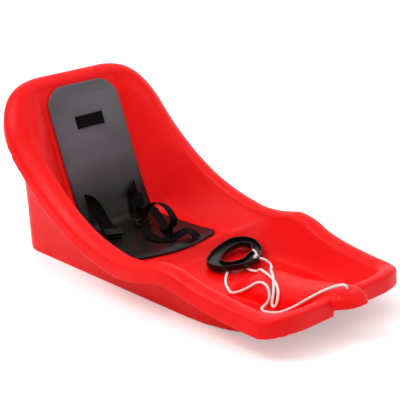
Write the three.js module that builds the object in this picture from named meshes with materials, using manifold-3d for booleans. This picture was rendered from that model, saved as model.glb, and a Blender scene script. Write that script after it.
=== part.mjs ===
// Child's pull sled: a one-piece moulded seat shell with a mat, a lap belt and a pull rope with its handle.
// Millimetres, +X to the nose, +Y to the child's left, +Z up, the ground at z = 0.
import * as THREE from "three";
import { mergeVertices } from "three/addons/utils/BufferGeometryUtils.js";
import Module from "manifold-3d";

// Overall sizes of the shell
const SLED_LENGTH = 788;
const SLED_WIDTH = 412;
const SLED_HEIGHT = 336;
const WALL = 3;
const OVERRUN = 60;

// Rolled rim and its skirt
const RIM_WIDTH = 38;
const RIM_CROWN = 9;
const RIM_EDGE_ROUND = 4;
const SKIRT_HEIGHT = 26;
const SKIRT_FLARE = 3;
const SKIRT_GAP = 13;

// Corners in plan, along and across the sled, and how far each outline stands back from the one outside it
const RIM_REAR_CORNER = [84, 128];
const RIM_FRONT_CORNER = [60, 84];
const EDGE_REAR_CORNER = [62, 96];
const EDGE_FRONT_CORNER = [48, 62];
const FLOOR_REAR_CORNER = [10, 16];
const FLOOR_FRONT_CORNER = [48, 88];
const BASE_REAR_CORNER = [52, 96];
const BASE_FRONT_CORNER = [54, 112];
const RIM_FRONT_SETBACK = 39;
const RIM_FRONT_WIDTH = 22;
const FLOOR_FRONT_SETBACK = 66;
const BASE_FRONT_SETBACK = 27;
const BASE_REAR_SETBACK = 18;

// Keels under the floor
const KEEL_WIDTH = 14;
const KEEL_SPACING = 96;
const KEEL_STEPS = 16;
const keelShares = [0.2, 0.8];

// Raised prow: the ridge between the feet that grows into the nose
const PROW_STEPS = 16;
const PROW_ARC_STEPS = 10;
const PROW_SQUARENESS = 0.72;
const HOLE_DIAMETER = 9;
const HOLE_SIDES = 16;
const HOLE_SETBACK = 37;
const FLUTE_COUNT = 7;
const FLUTE_WIDTH = 1.6;
const FLUTE_DEPTH = 1.2;
const FLUTE_START = 16;
const FLUTE_SPREAD = 130;
const NOTCH_WIDTH = 8;
const NOTCH_DEPTH = 15;
const NOTCH_APEX_HALF = 34;

// Mat on the seat and its back
const MAT_THICKNESS = 5;
const MAT_WIDTH = 176;
const MAT_FLARE = 12;
const MAT_GAP = 0.4;
const MAT_TOP_HEIGHT = 316;
const MAT_TOP_ROUND = 46;
const MAT_FRONT_ROUND = 14;
const matExtraShares = [0.12, 0.3, 0.55];
const matFrontShare = 0.437;
const matFlareShare = 0.55;
// Mat's edge: share of the half width, share of the thickness
const matEdgeShares = [[1, 0.45], [0.985, 0.85], [0.95, 1], [0.5, 1], [0, 1]];

// Webbing and the slots that it passes through
const WEBBING_WIDTH = 25;
const WEBBING_THICKNESS = 1.8;
const SLOT_CLEARANCE = 1.05;
const SLOT_REACH = 44;
const UPPER_SLOT_HEIGHT = 244;
const UPPER_SLOT_SPACING = 66;
const LOWER_SLOT_HEIGHT = 102;
const LOWER_SLOT_SPACING = 126;
const WEBBING_GAP = 0.4;
const HIDDEN_DEPTH = 26;
const SOCKET_STRAIGHT = 17;
const PLUG_STRAIGHT = 20;
const SEWN_LENGTH = 18;
const RIBBON_STEPS = 2;
// Webbing behind the back: share of the way down, depth behind the mat's face, share of the turn to lie flat
const hiddenShares = [
  [0, 0, 0], [0, 0.26, 0], [0.005, 0.5, 0.06], [0.015, 0.78, 0.4], [0.05, 1.05, 0.85], [0.14, 1.3, 1], [0.3, 1.3, 1],
  [0.5, 1.3, 1], [0.7, 1.3, 1], [0.86, 1.3, 1], [0.95, 1.05, 0.85], [0.985, 0.78, 0.4], [0.995, 0.5, 0.06], [1, 0.26, 0], [1, 0, 0],
];
// Webbing from a lower slot down to the mat: share of the way forward, share of the fall, share of the turn
const lapShares = [[0, 0, 0], [0.16, 0.01, 0], [0.29, 0.1, 0.06], [0.4, 0.28, 0.3], [0.52, 0.54, 0.64], [0.68, 0.8, 0.9], [0.85, 0.95, 1]];
// Loose tail in widths of the webbing from the plug's bar, and its direction across
const tailShares = [
  [-0.44, 0.3, 0.26, 0.5, 0.86, 0],
  [-0.56, 0.4, 0.52, 0.41, 0.91, 0],
  [-0.4, 0.52, 0.8, 0.25, 0.97, 0],
  [0, 0.64, 0.88, 0.1, 1, 0],
  [0.48, 0.76, 0.72, -0.1, 1, 0],
  [0.92, 0.88, 0.3, -0.2, 0.97, -0.1],
  [1.44, 0.88, -0.08, -0.3, 0.95, -0.06],
  [2.04, 0.72, -0.23, -0.25, 0.96, -0.04],
  [2.62, 0.28, -0.2, -0.25, 0.95, -0.06],
  [3.38, 0.08, 0.26, -0.28, 0.93, -0.25],
  [3.74, -0.1, 1.1, -0.3, 0.91, -0.3],
  [3.3, -0.34, 1.95, -0.3, 0.9, -0.3],
  [2.58, -0.58, 2.22, -0.3, 0.9, -0.3],
  [1.86, -0.82, 1.88, -0.3, 0.9, -0.3],
  [1.5, -1.1, 1.02, -0.3, 0.9, -0.3],
  [1.86, -1.34, 0.22, -0.3, 0.94, -0.15],
  [2.6, -1.52, -0.23, -0.1, 0.99, -0.03],
  [3.4, -1.6, -0.25, 0.15, 0.99, 0],
  [4.05, -1.4, -0.24, -0.51, 0.86, 0],
  [4.42, -0.8, -0.16, -0.91, 0.41, 0],
  [4.62, -0.18, 0.1, -0.95, 0.3, 0],
  [4.9, 0.3, 0.32, -0.86, 0.51, 0],
  [5.38, 0.54, 0.16, -0.41, 0.91, 0],
  [5.7, 0.58, -0.17, -0.2, 0.98, 0],
];

// Side-release buckle, each half along its heading from the bar that holds the webbing
const BUCKLE_WIDTH = 33;
const BUCKLE_THICKNESS = 8.6;
const BUCKLE_ARM = 3.4;
const BUCKLE_ARM_REACH = 2.6;
const BUCKLE_THROAT = 5.6;
const BUCKLE_SKIN = 1.6;
const BUCKLE_SOFTEN = 0.7;
const BUCKLE_PLAY = 0.5;
const BAR_DIAMETER = 3.4;
const BAR_SIDES = 12;
const BAR_TURN_STEPS = 4;
const SOCKET_LENGTH = 28;
const RIB_WIDTH = 1.4;
const RIB_HEIGHT = 0.6;
const SHOULDER_LENGTH = 6;
const PRONG_LENGTH = 23;
const GUIDE_WIDTH = 5;
const windowShares = [0.3, 0.68];
const ribShares = [0.16, 0.82, 0.9];
// Plan of a side arm: share of its length, share of the buckle's half width
const prongShares = [[0, 0.6], [0, 0.8], [0.45, 0.86], [0.5, 1.02], [0.72, 0.96], [0.98, 0.6], [0.9, 0.5], [0.7, 0.68], [0.3, 0.66]];
const socketHeading = [0.88, -0.475];
const plugHeading = [0.848, -0.53];
// Bars: share of the length from the rear, share of the mat's half width across
const socketBarShares = [0.2535, -0.65];
const plugBarShares = [0.2555, 0.273];

// Pull handle
const HANDLE_LENGTH = 142;
const HANDLE_DEPTH = 91;
const HANDLE_HEIGHT = 12;
const HANDLE_BAND = 17;
const HANDLE_GRIP_EXTRA = 8;
const HANDLE_ROUND = 33;
const HANDLE_BULGE = 5;
const HANDLE_SIDE_STEPS = 5;
const HANDLE_WALL = 2.2;
const HANDLE_HOLE = 8.4;
const HANDLE_CORNER_STEPS = 7;
const POST_DIAMETER = 6;
const POST_SIDES = 12;
const postShare = 0.4;
const HANDLE_TURN = 18;
const HANDLE_RISE = 3.5;
const HANDLE_LIFT = 10;
// Middle of the grip's outer face: share of the length, share of the half width
const handleShares = [0.494, 0.238];

// Tables along the sled: share of the length from the rear, then share of the named height or half width
const rimHeightShares = [
  [0.004, 0.984], [0.018, 0.946], [0.065, 0.808], [0.132, 0.639], [0.202, 0.503], [0.253, 0.424],
  [0.31, 0.354], [0.373, 0.3], [0.437, 0.265], [0.49, 0.249], [0.535, 0.257], [0.58, 0.281],
  [0.614, 0.3], [0.655, 0.291], [0.703, 0.256], [0.76, 0.231], [0.817, 0.217], [0.9, 0.208], [0.945, 0.228],
];
const rimTiltShares = [
  [0, -0.024], [0.018, 0], [0.065, 0.03], [0.132, 0.047], [0.253, 0.035], [0.373, 0.018],
  [0.48, 0.012], [0.576, 0.003], [0.614, 0], [0.945, 0],
];
const rimHalfShares = [
  [0.114, 0.972], [0.253, 0.986], [0.426, 1], [0.532, 1], [0.614, 0.972],
  [0.703, 0.929], [0.817, 0.894], [0.866, 0.88],
];
const floorHeightShares = [
  [0.048, 0.954], [0.189, 0.202], [0.2, 0.162], [0.225, 0.142], [0.26, 0.138], [0.373, 0.139], [0.424, 0.145],
  [0.44, 0.139], [0.455, 0.106], [0.467, 0.081], [0.482, 0.073], [0.754, 0.072], [0.817, 0.077], [0.86, 0.095],
];
const floorHalfShares = [
  [0.061, 0.481], [0.198, 0.481], [0.373, 0.51], [0.449, 0.534], [0.525, 0.559], [0.652, 0.588],
  [0.716, 0.588], [0.779, 0.564], [0.799, 0.554],
];
const baseHeightShares = [
  [0.03, 0], [0.652, 0], [0.747, 0.012], [0.798, 0.029], [0.843, 0.054], [0.874, 0.077], [0.911, 0.116],
];
const baseHalfShares = [
  [0.088, 0.69], [0.127, 0.695], [0.652, 0.695], [0.747, 0.67], [0.798, 0.645], [0.843, 0.612],
];
// Ridge and nose: share of the length, half width, crest height and underside height
const prowShares = [
  [0.642, 0.202, 0.075, 0.051], [0.655, 0.227, 0.101, 0.051], [0.674, 0.242, 0.139, 0.051], [0.697, 0.253, 0.172, 0.051],
  [0.724, 0.255, 0.189, 0.051], [0.779, 0.251, 0.195, 0.051], [0.817, 0.244, 0.207, 0.056], [0.855, 0.238, 0.222, 0.086],
  [0.893, 0.222, 0.241, 0.125], [0.931, 0.199, 0.263, 0.158], [0.953, 0.19, 0.273, 0.178], [0.972, 0.172, 0.265, 0.19],
  [0.987, 0.138, 0.245, 0.199], [0.996, 0.089, 0.224, 0.205], [1, 0.035, 0.214, 0.209],
];
// Where the frames stand along each side, from the rear corner to the front one
const frameShares = [
  0.04, 0.08, 0.12, 0.155, 0.175, 0.19, 0.205, 0.22, 0.24, 0.28, 0.33, 0.38, 0.42, 0.445, 0.465, 0.485,
  0.52, 0.56, 0.6, 0.64, 0.68, 0.72, 0.77, 0.83, 0.89, 0.95,
];
// Wall between the floor edge and the rim: share of the way out, share of the way up
const wallShapeShares = [[0.2, 0.08], [0.5, 0.36], [0.78, 0.7]];
const outerWallShapeShares = [[0.3, 0.5]];
const rimTopShares = [0.04, 0.2, 0.45, 0.7, 0.9, 1.2];
const rimLidShares = [0.45, 0.7, 1];
// How much of the rim's crown stands, fading over the front lobes
const rimCrownShares = [[0, 1], [0.76, 1], [0.86, 0.6], [0.92, 0.35]];
// Lobe's side of the notch: share of its depth, share of its width
const notchShares = [[0, 0], [0.4, 0.25], [0.7, 0.5], [0.9, 0.85], [1, 1.4]];
const backFootShare = 0.19;
// How far the wall's outer face stands off from its inner edge at the rim, out and down, in walls
const skinShares = [1.2, 0.4];
const BISECTIONS = 30;
const CORNER_STEPS = 7;
const CORNER_FULLNESS = 2.4;

// Pull rope, from under the nose, over the ridge, out and back over it under the handle, and to the handle's hole
const ROPE_DIAMETER = 5;
const ROPE_SIDES = 8;
const ROPE_STEPS = 96;
const KNOT_DIAMETER = 9.6;
const KNOT_SIDES = 10;
const KNOT_GAP = 1;
const knotLengthShare = 0.8;
const ropePoints = [
  [357, 0, 82], [357, 0, 89.5], [352.5, -1.5, 96.3], [343.5, -7.5, 94], [336.5, -17, 91.4], [329, -27.5, 86.8],
  [320, -36.5, 79.8], [310, -44, 71.2], [298, -49, 61], [285, -52.5, 50], [270, -55, 39.5], [257, -57.5, 31.5],
  [248, -61.5, 28.6], [240, -67, 28.2], [231, -70.5, 28.2], [222, -68.5, 28.2], [217.5, -61.5, 29], [220.5, -57, 33.5],
  [225, -54.5, 40], [225, -51.5, 47.5], [220.5, -47.5, 54.2], [213.5, -43, 58.8], [203.3, -39.2, 61.6],
  [190.5, -38, 61.4], [182.6, -41.5, 58.6], [176, -48, 52], [162, -54, 41.5], [147, -56, 33], [134, -54.5, 28.2],
  [119, -46, 27.3], [102, -35, 27.3], [86, -20, 27.3], [72.5, -4.5, 27.3], [61.5, 10, 27.3], [54.5, 23, 27.3],
  [52.5, 37, 27.3], [56.5, 48.5, 27.3], [64, 52, 27.3], [72, 48, 27.3], [81, 45, 27.3], [90, 47, 27.3], [97, 50, 27.8],
  [105, 47.5, 30], [116, 36.5, 38.5], [134, 19, 51.2], [152, 5, 60.5], [170, -6, 65], [187, -13.5, 66.8],
  [203, -20.5, 67], [217, -28, 66.2], [229, -36, 63.2], [237.5, -43, 58.2], [243, -50, 50], [244.5, -54.5, 42],
  [243, -57, 36.8], [239, -58, 34.6], [235.2, -57, 37], [234, -54.5, 43.5], [232, -50, 51.8], [226, -42.5, 61.5],
  [214, -30, 69.7], [203, -20, 72.8], [190, -8, 70.4], [176, 5, 67], [162, 20, 64], [148, 38, 55],
  [134, 54, 39], [120, 68, 28.2], [109, 80, 27.6], [102, 88, 29], [97, 89, 33], [93.5, 85, 37.2],
  [89.5, 80.4, 40.8], [85.5, 78.3, 41.8], [81, 76.8, 41.8], [78.8, 76.1, 41.8],
];

const REAR = -SLED_LENGTH / 2;
const NOSE = SLED_LENGTH / 2;
const HALF_WIDTH = SLED_WIDTH / 2;

const wasm = await Module();
wasm.setup();

// Smooth curve through a table of shares that never overshoots its points (monotone cubic)
function profile(table, scale) {
  const xs = table.map(([share]) => REAR + share * SLED_LENGTH);
  const ys = table.map(([, share]) => share * scale);
  const slopes = xs.slice(1).map((x, i) => (ys[i + 1] - ys[i]) / (x - xs[i]));
  const tangents = xs.map((_, i) => {
    const before = slopes[Math.max(i - 1, 0)];
    const after = slopes[Math.min(i, slopes.length - 1)];
    return before * after <= 0 ? 0 : (2 * before * after) / (before + after);
  });
  return (x) => {
    if (x <= xs[0]) return ys[0];
    if (x >= xs.at(-1)) return ys.at(-1);
    const i = xs.findIndex((edge) => edge > x) - 1;
    const width = xs[i + 1] - xs[i];
    const t = (x - xs[i]) / width;
    const s = 1 - t;
    return (
      ys[i] * s * s * (1 + 2 * t) + ys[i + 1] * t * t * (3 - 2 * t) +
      width * t * s * (tangents[i] * s - tangents[i + 1] * t)
    );
  };
}

const rimHeight = profile(rimHeightShares, SLED_HEIGHT);
const rimTilt = profile(rimTiltShares, SLED_HEIGHT);
const rimCrown = profile(rimCrownShares, RIM_CROWN);
const rimHalf = profile(rimHalfShares, HALF_WIDTH);
const floorHeight = profile(floorHeightShares, SLED_HEIGHT);
const floorHalf = profile(floorHalfShares, HALF_WIDTH);
const baseHeight = profile(baseHeightShares, SLED_HEIGHT);
const baseHalf = profile(baseHalfShares, HALF_WIDTH);

// A point on a quarter of a full, squarish curve
function cornerStep(k) {
  const turn = (k / CORNER_STEPS) * (Math.PI / 2);
  return [Math.cos(turn) ** (2 / CORNER_FULLNESS), Math.sin(turn) ** (2 / CORNER_FULLNESS)];
}

// Closed ring seen from above: rounded rear corner, left side, rounded front corner, and back in mirror
function planRing({ rear, front, rearCorner, frontCorner, half }) {
  const sideRear = rear + rearCorner[0];
  const sideFront = front - frontCorner[0];
  const left = [];
  const rearStraight = half(sideRear) - rearCorner[1];
  const frontStraight = half(sideFront) - frontCorner[1];
  for (let k = 0; k <= CORNER_STEPS; k++) {
    const [along, across] = cornerStep(k);
    left.push([sideRear - rearCorner[0] * along, rearStraight + rearCorner[1] * across]);
  }
  for (const share of frameShares) {
    const x = sideRear + (sideFront - sideRear) * share;
    left.push([x, half(x)]);
  }
  for (let k = 0; k <= CORNER_STEPS; k++) {
    const [across, along] = cornerStep(k);
    left.push([sideFront + frontCorner[0] * along, frontStraight + frontCorner[1] * across]);
  }
  const right = left.toReversed().map(([x, y]) => [x, -y]);
  return left.concat(right);
}

// The ring moved inwards in plan (outwards when the distance is negative)
function insetRing(ring, distance) {
  const n = ring.length;
  return ring.map(([x, y], i) => {
    const [x0, y0] = ring[(i + n - 1) % n];
    const [x1, y1] = ring[(i + 1) % n];
    const length = Math.hypot(x1 - x0, y1 - y0);
    return [x + ((y1 - y0) / length) * distance, y - ((x1 - x0) / length) * distance];
  });
}

const withHeight = (ring, heightAt) => ring.map(([x, y], i) => [x, y, heightAt(x, i)]);
const blendRings = (low, high, across, up) =>
  low.map(([x, y, z], i) => [
    x + (high[i][0] - x) * across,
    y + (high[i][1] - y) * across,
    z + (high[i][2] - z) * up,
  ]);
const raiseRing = (ring, lift) => ring.map(([x, y, z]) => [x, y, z + lift]);

// A manifold solid from points and triangles, turned to face outwards
function solidOf(points, triangles) {
  const make = (faces) => {
    const geometry = new THREE.BufferGeometry();
    geometry.setAttribute("position", new THREE.Float32BufferAttribute(points.flat(), 3));
    geometry.setIndex(faces.flat());
    const merged = mergeVertices(geometry, 1e-4);
    return new wasm.Manifold(
      new wasm.Mesh({
        numProp: 3,
        vertProperties: merged.attributes.position.array,
        triVerts: new Uint32Array(merged.index.array),
      }),
    );
  };
  const solid = make(triangles);
  return solid.volume() < 0 ? make(triangles.map(([a, b, c]) => [a, c, b])) : solid;
}

// A solid from mirrored rings, lowest first, closed by straps that run straight across from left to right
function loftRings(rings) {
  const n = rings[0].length;
  const points = rings.flat();
  const triangles = [];
  for (let r = 0; r + 1 < rings.length; r++) {
    for (let i = 0; i < n; i++) {
      const j = (i + 1) % n;
      const [a, b, c, d] = [r * n + i, r * n + j, (r + 1) * n + j, (r + 1) * n + i];
      triangles.push([a, b, c], [a, c, d]);
    }
  }
  const cap = (start, flip) => {
    for (let i = 0; i + 1 < n / 2; i++) {
      const [a, b, c, d] = [start + i, start + i + 1, start + n - i - 2, start + n - i - 1];
      triangles.push(...(flip ? [[a, c, b], [a, d, c]] : [[a, b, c], [a, c, d]]));
    }
  };
  cap(0, true);
  cap((rings.length - 1) * n, false);
  return solidOf(points, triangles);
}

// A ring-shaped solid: one closed section carried round the ring
function sweepRing(sections) {
  const n = sections.length;
  const m = sections[0].length;
  const triangles = [];
  for (let i = 0; i < n; i++) {
    const j = (i + 1) % n;
    for (let k = 0; k < m; k++) {
      const l = (k + 1) % m;
      const [a, b, c, d] = [i * m + k, j * m + k, j * m + l, i * m + l];
      triangles.push([a, b, c], [a, c, d]);
    }
  }
  return solidOf(sections.flat(), triangles);
}

// A solid through open sections of equal count, closed by a fan at each end
function loftSections(sections) {
  const m = sections[0].length;
  const points = sections.flat();
  const triangles = [];
  for (let s = 0; s + 1 < sections.length; s++) {
    for (let k = 0; k < m; k++) {
      const l = (k + 1) % m;
      const [a, b, c, d] = [s * m + k, s * m + l, (s + 1) * m + l, (s + 1) * m + k];
      triangles.push([a, b, c], [a, c, d]);
    }
  }
  for (let k = 1; k + 1 < m; k++) {
    const last = (sections.length - 1) * m;
    triangles.push([0, k + 1, k], [last, last + k, last + k + 1]);
  }
  return solidOf(points, triangles);
}

// A three.js geometry as a manifold solid, moved by a matrix
function geometrySolid(geometry, matrix) {
  const bare = geometry.index ? geometry.toNonIndexed() : geometry.clone();
  bare.deleteAttribute("normal");
  bare.deleteAttribute("uv");
  if (matrix) bare.applyMatrix4(matrix);
  const merged = mergeVertices(bare, 1e-4);
  return new wasm.Manifold(
    new wasm.Mesh({
      numProp: 3,
      vertProperties: merged.attributes.position.array,
      triVerts: new Uint32Array(merged.index.array),
    }),
  );
}

function toGeometry(solid) {
  const mesh = solid.getMesh();
  const positions = new Float32Array(mesh.numVert * 3);
  for (let i = 0; i < mesh.numVert; i++) {
    positions.set(mesh.vertProperties.subarray(i * mesh.numProp, i * mesh.numProp + 3), i * 3);
  }
  const geometry = new THREE.BufferGeometry();
  geometry.setAttribute("position", new THREE.BufferAttribute(positions, 3));
  geometry.setIndex(new THREE.BufferAttribute(mesh.triVerts, 1));
  return geometry;
}

// Rings of the shell
const rimPlan = planRing({
  rear: REAR + SKIRT_FLARE,
  front: NOSE - RIM_FRONT_SETBACK,
  rearCorner: RIM_REAR_CORNER,
  frontCorner: RIM_FRONT_CORNER,
  half: (x) => rimHalf(x) - SKIRT_FLARE,
});
const edgePlan = planRing({
  rear: REAR + RIM_WIDTH,
  front: NOSE - RIM_FRONT_SETBACK - RIM_FRONT_WIDTH,
  rearCorner: EDGE_REAR_CORNER,
  frontCorner: EDGE_FRONT_CORNER,
  half: (x) => rimHalf(x) - SKIRT_FLARE - RIM_WIDTH,
});
const floorPlan = planRing({
  rear: REAR + RIM_WIDTH,
  front: NOSE - RIM_FRONT_SETBACK - FLOOR_FRONT_SETBACK,
  rearCorner: FLOOR_REAR_CORNER,
  frontCorner: FLOOR_FRONT_CORNER,
  half: floorHalf,
});
const basePlan = planRing({
  rear: REAR + BASE_REAR_SETBACK,
  front: NOSE - RIM_FRONT_SETBACK - BASE_FRONT_SETBACK,
  rearCorner: BASE_REAR_CORNER,
  frontCorner: BASE_FRONT_CORNER,
  half: baseHalf,
});

// Height of the rim's upper face over its outer crease, at a distance in from the crease
function rimRise(x, distance) {
  const share = distance / RIM_WIDTH;
  return rimTilt(x) * share + rimCrown(x) * 4 * share * (1 - share);
}
// A ring on the rim's upper face
function rimRing(distance, lift) {
  const share = distance / RIM_WIDTH;
  return rimPlan.map(([x, y], i) => [
    x + (edgePlan[i][0] - x) * share,
    y + (edgePlan[i][1] - y) * share,
    rimHeight(x) + rimRise(x, distance) + lift,
  ]);
}
const slopeAt = (curve, x) => (curve(x + 1) - curve(x - 1)) / 2;
const floorUnder = (x) => floorHeight(x) - WALL * Math.hypot(1, slopeAt(floorHeight, x));

// Height of the floor as it is built, straight between its frames
function floorLine(x) {
  const stations = floorPlan.filter(([, y]) => y > 0).map(([place]) => place);
  const next = Math.max(stations.findIndex((place) => place > x), 1);
  const [a, b] = [stations[next - 1], stations[next]];
  const share = (x - a) / (b - a);
  return floorHeight(a) + (floorHeight(b) - floorHeight(a)) * share;
}

function tubSolid() {
  const foot = withHeight(floorPlan, floorHeight);
  const edge = rimRing(RIM_WIDTH + RIM_EDGE_ROUND / 3, -RIM_EDGE_ROUND);
  const brow = rimRing(RIM_WIDTH - RIM_EDGE_ROUND / 3, -RIM_EDGE_ROUND / 8);
  const lip = rimRing(RIM_WIDTH - RIM_EDGE_ROUND, RIM_EDGE_ROUND / 4);
  const walls = wallShapeShares.map(([across, up]) => blendRings(foot, edge, across, up));
  return loftRings([foot, ...walls, edge, brow, lip, raiseRing(lip, OVERRUN)]);
}

function tubSkin() {
  const foot = withHeight(insetRing(floorPlan, -WALL), floorUnder);
  const edge = rimRing(RIM_WIDTH + RIM_EDGE_ROUND / 3, -RIM_EDGE_ROUND);
  const reach = rimRing(RIM_WIDTH + RIM_EDGE_ROUND / 3 - WALL * skinShares[0], 0);
  const shoulder = reach.map(([x, y], i) => [x, y, edge[i][2] - WALL * skinShares[1]]);
  const walls = wallShapeShares.map(([across, up]) => blendRings(foot, shoulder, across, up));
  return loftRings([foot, ...walls, shoulder, rimRing(RIM_WIDTH - RIM_EDGE_ROUND, -WALL / 2)]);
}

function outerBody(inset, drop) {
  const base = withHeight(insetRing(basePlan, inset), baseHeight);
  const top = rimRing(SKIRT_GAP + inset, -WALL / 2 - drop);
  const walls = outerWallShapeShares.map(([across, up]) => blendRings(base, top, across, up));
  const lid = rimLidShares.map((share) => rimRing(share * RIM_WIDTH, -WALL / 2 - drop));
  return [...(drop ? [raiseRing(base, -OVERRUN)] : []), base, ...walls, top, ...lid];
}

function rimSolid() {
  const section = (x) => {
    const top = rimTopShares.map((share) => [share * RIM_WIDTH, rimRise(x, share * RIM_WIDTH)]);
    const under = top.slice(1).reverse().map(([distance, rise]) => [distance + WALL / 4, rise - WALL]);
    return [
      [WALL - SKIRT_FLARE, -SKIRT_HEIGHT],
      [-SKIRT_FLARE, -SKIRT_HEIGHT],
      [-SKIRT_FLARE / 3, -RIM_EDGE_ROUND],
      ...top,
      ...under,
    ];
  };
  const sections = rimPlan.map(([x, y], i) =>
    section(x).map(([distance, rise]) => [
      x + (edgePlan[i][0] - x) * (distance / RIM_WIDTH),
      y + (edgePlan[i][1] - y) * (distance / RIM_WIDTH),
      rimHeight(x) + rise,
    ]),
  );
  return sweepRing(sections);
}

// Dome sections of the ridge and nose, made smaller all round by a wall
function prowSections(inset, drop) {
  const half = profile(prowShares.map(([x, w]) => [x, w]), HALF_WIDTH);
  const crest = profile(prowShares.map(([x, , z]) => [x, z]), SLED_HEIGHT);
  const under = profile(prowShares.map(([x, , , z]) => [x, z]), SLED_HEIGHT);
  const first = REAR + prowShares[0][0] * SLED_LENGTH + inset;
  const last = NOSE - inset;
  const sections = [];
  for (let k = 0; k <= PROW_STEPS; k++) {
    const share = k / PROW_STEPS;
    const eased = share < 0.5 ? share : 0.5 + 0.5 * Math.sin((share - 0.5) * Math.PI);
    const x = first + (last - first) * eased;
    const w = half(x) - inset;
    const low = under(x) - drop;
    const high = crest(x) - inset;
    const points = [];
    for (let a = 0; a <= PROW_ARC_STEPS; a++) {
      const angle = (a / PROW_ARC_STEPS) * Math.PI;
      const side = Math.cos(angle);
      const across = Math.sign(side) * Math.abs(side) ** PROW_SQUARENESS;
      points.push([x, w * across, low + (high - low) * Math.sin(angle) ** PROW_SQUARENESS]);
    }
    sections.push(points);
  }
  return loftSections(sections);
}

// An upright prism on a plan outline
function prism(outline, low, high) {
  const shape = new THREE.Shape(outline.map(([x, y]) => new THREE.Vector2(x, y)));
  const block = new THREE.ExtrudeGeometry(shape, { depth: high - low, bevelEnabled: false });
  return geometrySolid(block, new THREE.Matrix4().makeTranslation(0, 0, low));
}

// Gap between a front lobe and the nose, flared so that the lobe's end is round, and its wall's other face
function notch(side, wall) {
  const front = NOSE - RIM_FRONT_SETBACK;
  const outside = notchShares.map(([along, across]) => [
    front - NOTCH_DEPTH * (1 - along) - (along < 1 ? wall : 0),
    NOTCH_APEX_HALF + NOTCH_WIDTH * across + wall,
  ]);
  const reach = outside.at(-1)[1];
  const inside = NOTCH_APEX_HALF - NOTCH_WIDTH / 2;
  const outline = [
    ...outside,
    [front + OVERRUN, reach],
    [front + OVERRUN, inside],
    [outside[0][0], inside],
  ];
  return prism(outline.map(([x, y]) => [x, side * y]), -OVERRUN, SLED_HEIGHT);
}

// Rope hole through the nose
function ropeHole() {
  const drill = new THREE.CylinderGeometry(HOLE_DIAMETER / 2, HOLE_DIAMETER / 2, SLED_HEIGHT, HOLE_SIDES);
  const place = new THREE.Matrix4().makeRotationX(Math.PI / 2);
  return geometrySolid(drill, place.setPosition(NOSE - HOLE_SETBACK, 0, SLED_HEIGHT / 2));
}

// Grooves that fan out from the hole down the front of the nose
function flutes(skin) {
  const hole = NOSE - HOLE_SETBACK;
  let grooves = null;
  for (let k = 0; k < FLUTE_COUNT; k++) {
    const turn = THREE.MathUtils.degToRad(FLUTE_SPREAD * (k / (FLUTE_COUNT - 1) - 0.5));
    const blade = new THREE.BoxGeometry(HOLE_SETBACK, FLUTE_WIDTH, SLED_HEIGHT);
    blade.translate(FLUTE_START + HOLE_SETBACK / 2, 0, 0);
    const cut = geometrySolid(blade, new THREE.Matrix4().makeRotationZ(turn).setPosition(hole, 0, 0));
    grooves = grooves ? grooves.add(cut) : cut;
  }
  return grooves.subtract(skin);
}

// A lengthwise runner whose flat sole is on the ground and whose top ends inside the floor
function keel(side) {
  const first = REAR + keelShares[0] * SLED_LENGTH;
  const last = REAR + keelShares[1] * SLED_LENGTH;
  const sections = [];
  for (let k = 0; k <= KEEL_STEPS; k++) {
    const x = first + ((last - first) * k) / KEEL_STEPS;
    const top = floorUnder(x) + WALL / 2;
    const low = baseHeight(x);
    const half = KEEL_WIDTH / 2;
    const middle = (side * KEEL_SPACING) / 2;
    sections.push([[x, middle - half, low], [x, middle + half, low], [x, middle + half, top], [x, middle - half, top]]);
  }
  return loftSections(sections);
}

// Where the seat's back is at a height: the inverse of the floor's profile over the back
function backAt(z) {
  let [low, high] = [REAR, REAR + backFootShare * SLED_LENGTH];
  for (let k = 0; k < BISECTIONS; k++) {
    const middle = (low + high) / 2;
    if (floorHeight(middle) > z) low = middle;
    else high = middle;
  }
  return low;
}
// A point off the face of the back, at a height, a distance out from it and a distance across
function backPoint(z, out, y) {
  const x = backAt(z);
  const slope = slopeAt(floorHeight, x);
  const length = Math.hypot(1, slope);
  return [x - (slope / length) * out, y, z + out / length];
}

// Upright slots for the webbing, cut through the back and the mat together
function strapSlots(clearance) {
  const slot = (z, y) => {
    const width = WEBBING_THICKNESS + 2 * clearance;
    const cut = new THREE.BoxGeometry(SLOT_REACH, width, WEBBING_WIDTH + 2 * clearance);
    const tilt = Math.atan(1 / slopeAt(floorHeight, backAt(z)));
    const place = new THREE.Matrix4().makeRotationY(tilt);
    const [x, , level] = backPoint(z, 0, y);
    return geometrySolid(cut, place.setPosition(x, y, level));
  };
  const upper = UPPER_SLOT_HEIGHT;
  const lower = LOWER_SLOT_HEIGHT;
  return slot(upper, UPPER_SLOT_SPACING / 2)
    .add(slot(upper, -UPPER_SLOT_SPACING / 2))
    .add(slot(lower, LOWER_SLOT_SPACING / 2))
    .add(slot(lower, -LOWER_SLOT_SPACING / 2));
}

function shellSolid() {
  const notches = notch(1, 0).add(notch(-1, 0));
  const notchWalls = notch(1, WALL).add(notch(-1, WALL));
  const prow = prowSections(0, 0);
  const prowHollow = prowSections(WALL, OVERRUN);
  const outer = loftRings(outerBody(0, 0)).subtract(notches);
  const cavity = loftRings(outerBody(WALL, WALL)).subtract(notchWalls);
  const lining = tubSkin().add(rimSolid()).subtract(notches).subtract(prowHollow);
  const tub = tubSolid().subtract(prow);
  return outer
    .subtract(cavity)
    .add(lining)
    .add(prow.subtract(prowHollow))
    .subtract(tub)
    .add(keel(1))
    .add(keel(-1))
    .subtract(ropeHole())
    .subtract(flutes(prowSections(FLUTE_DEPTH, OVERRUN)))
    .subtract(strapSlots(SLOT_CLEARANCE));
}

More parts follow.
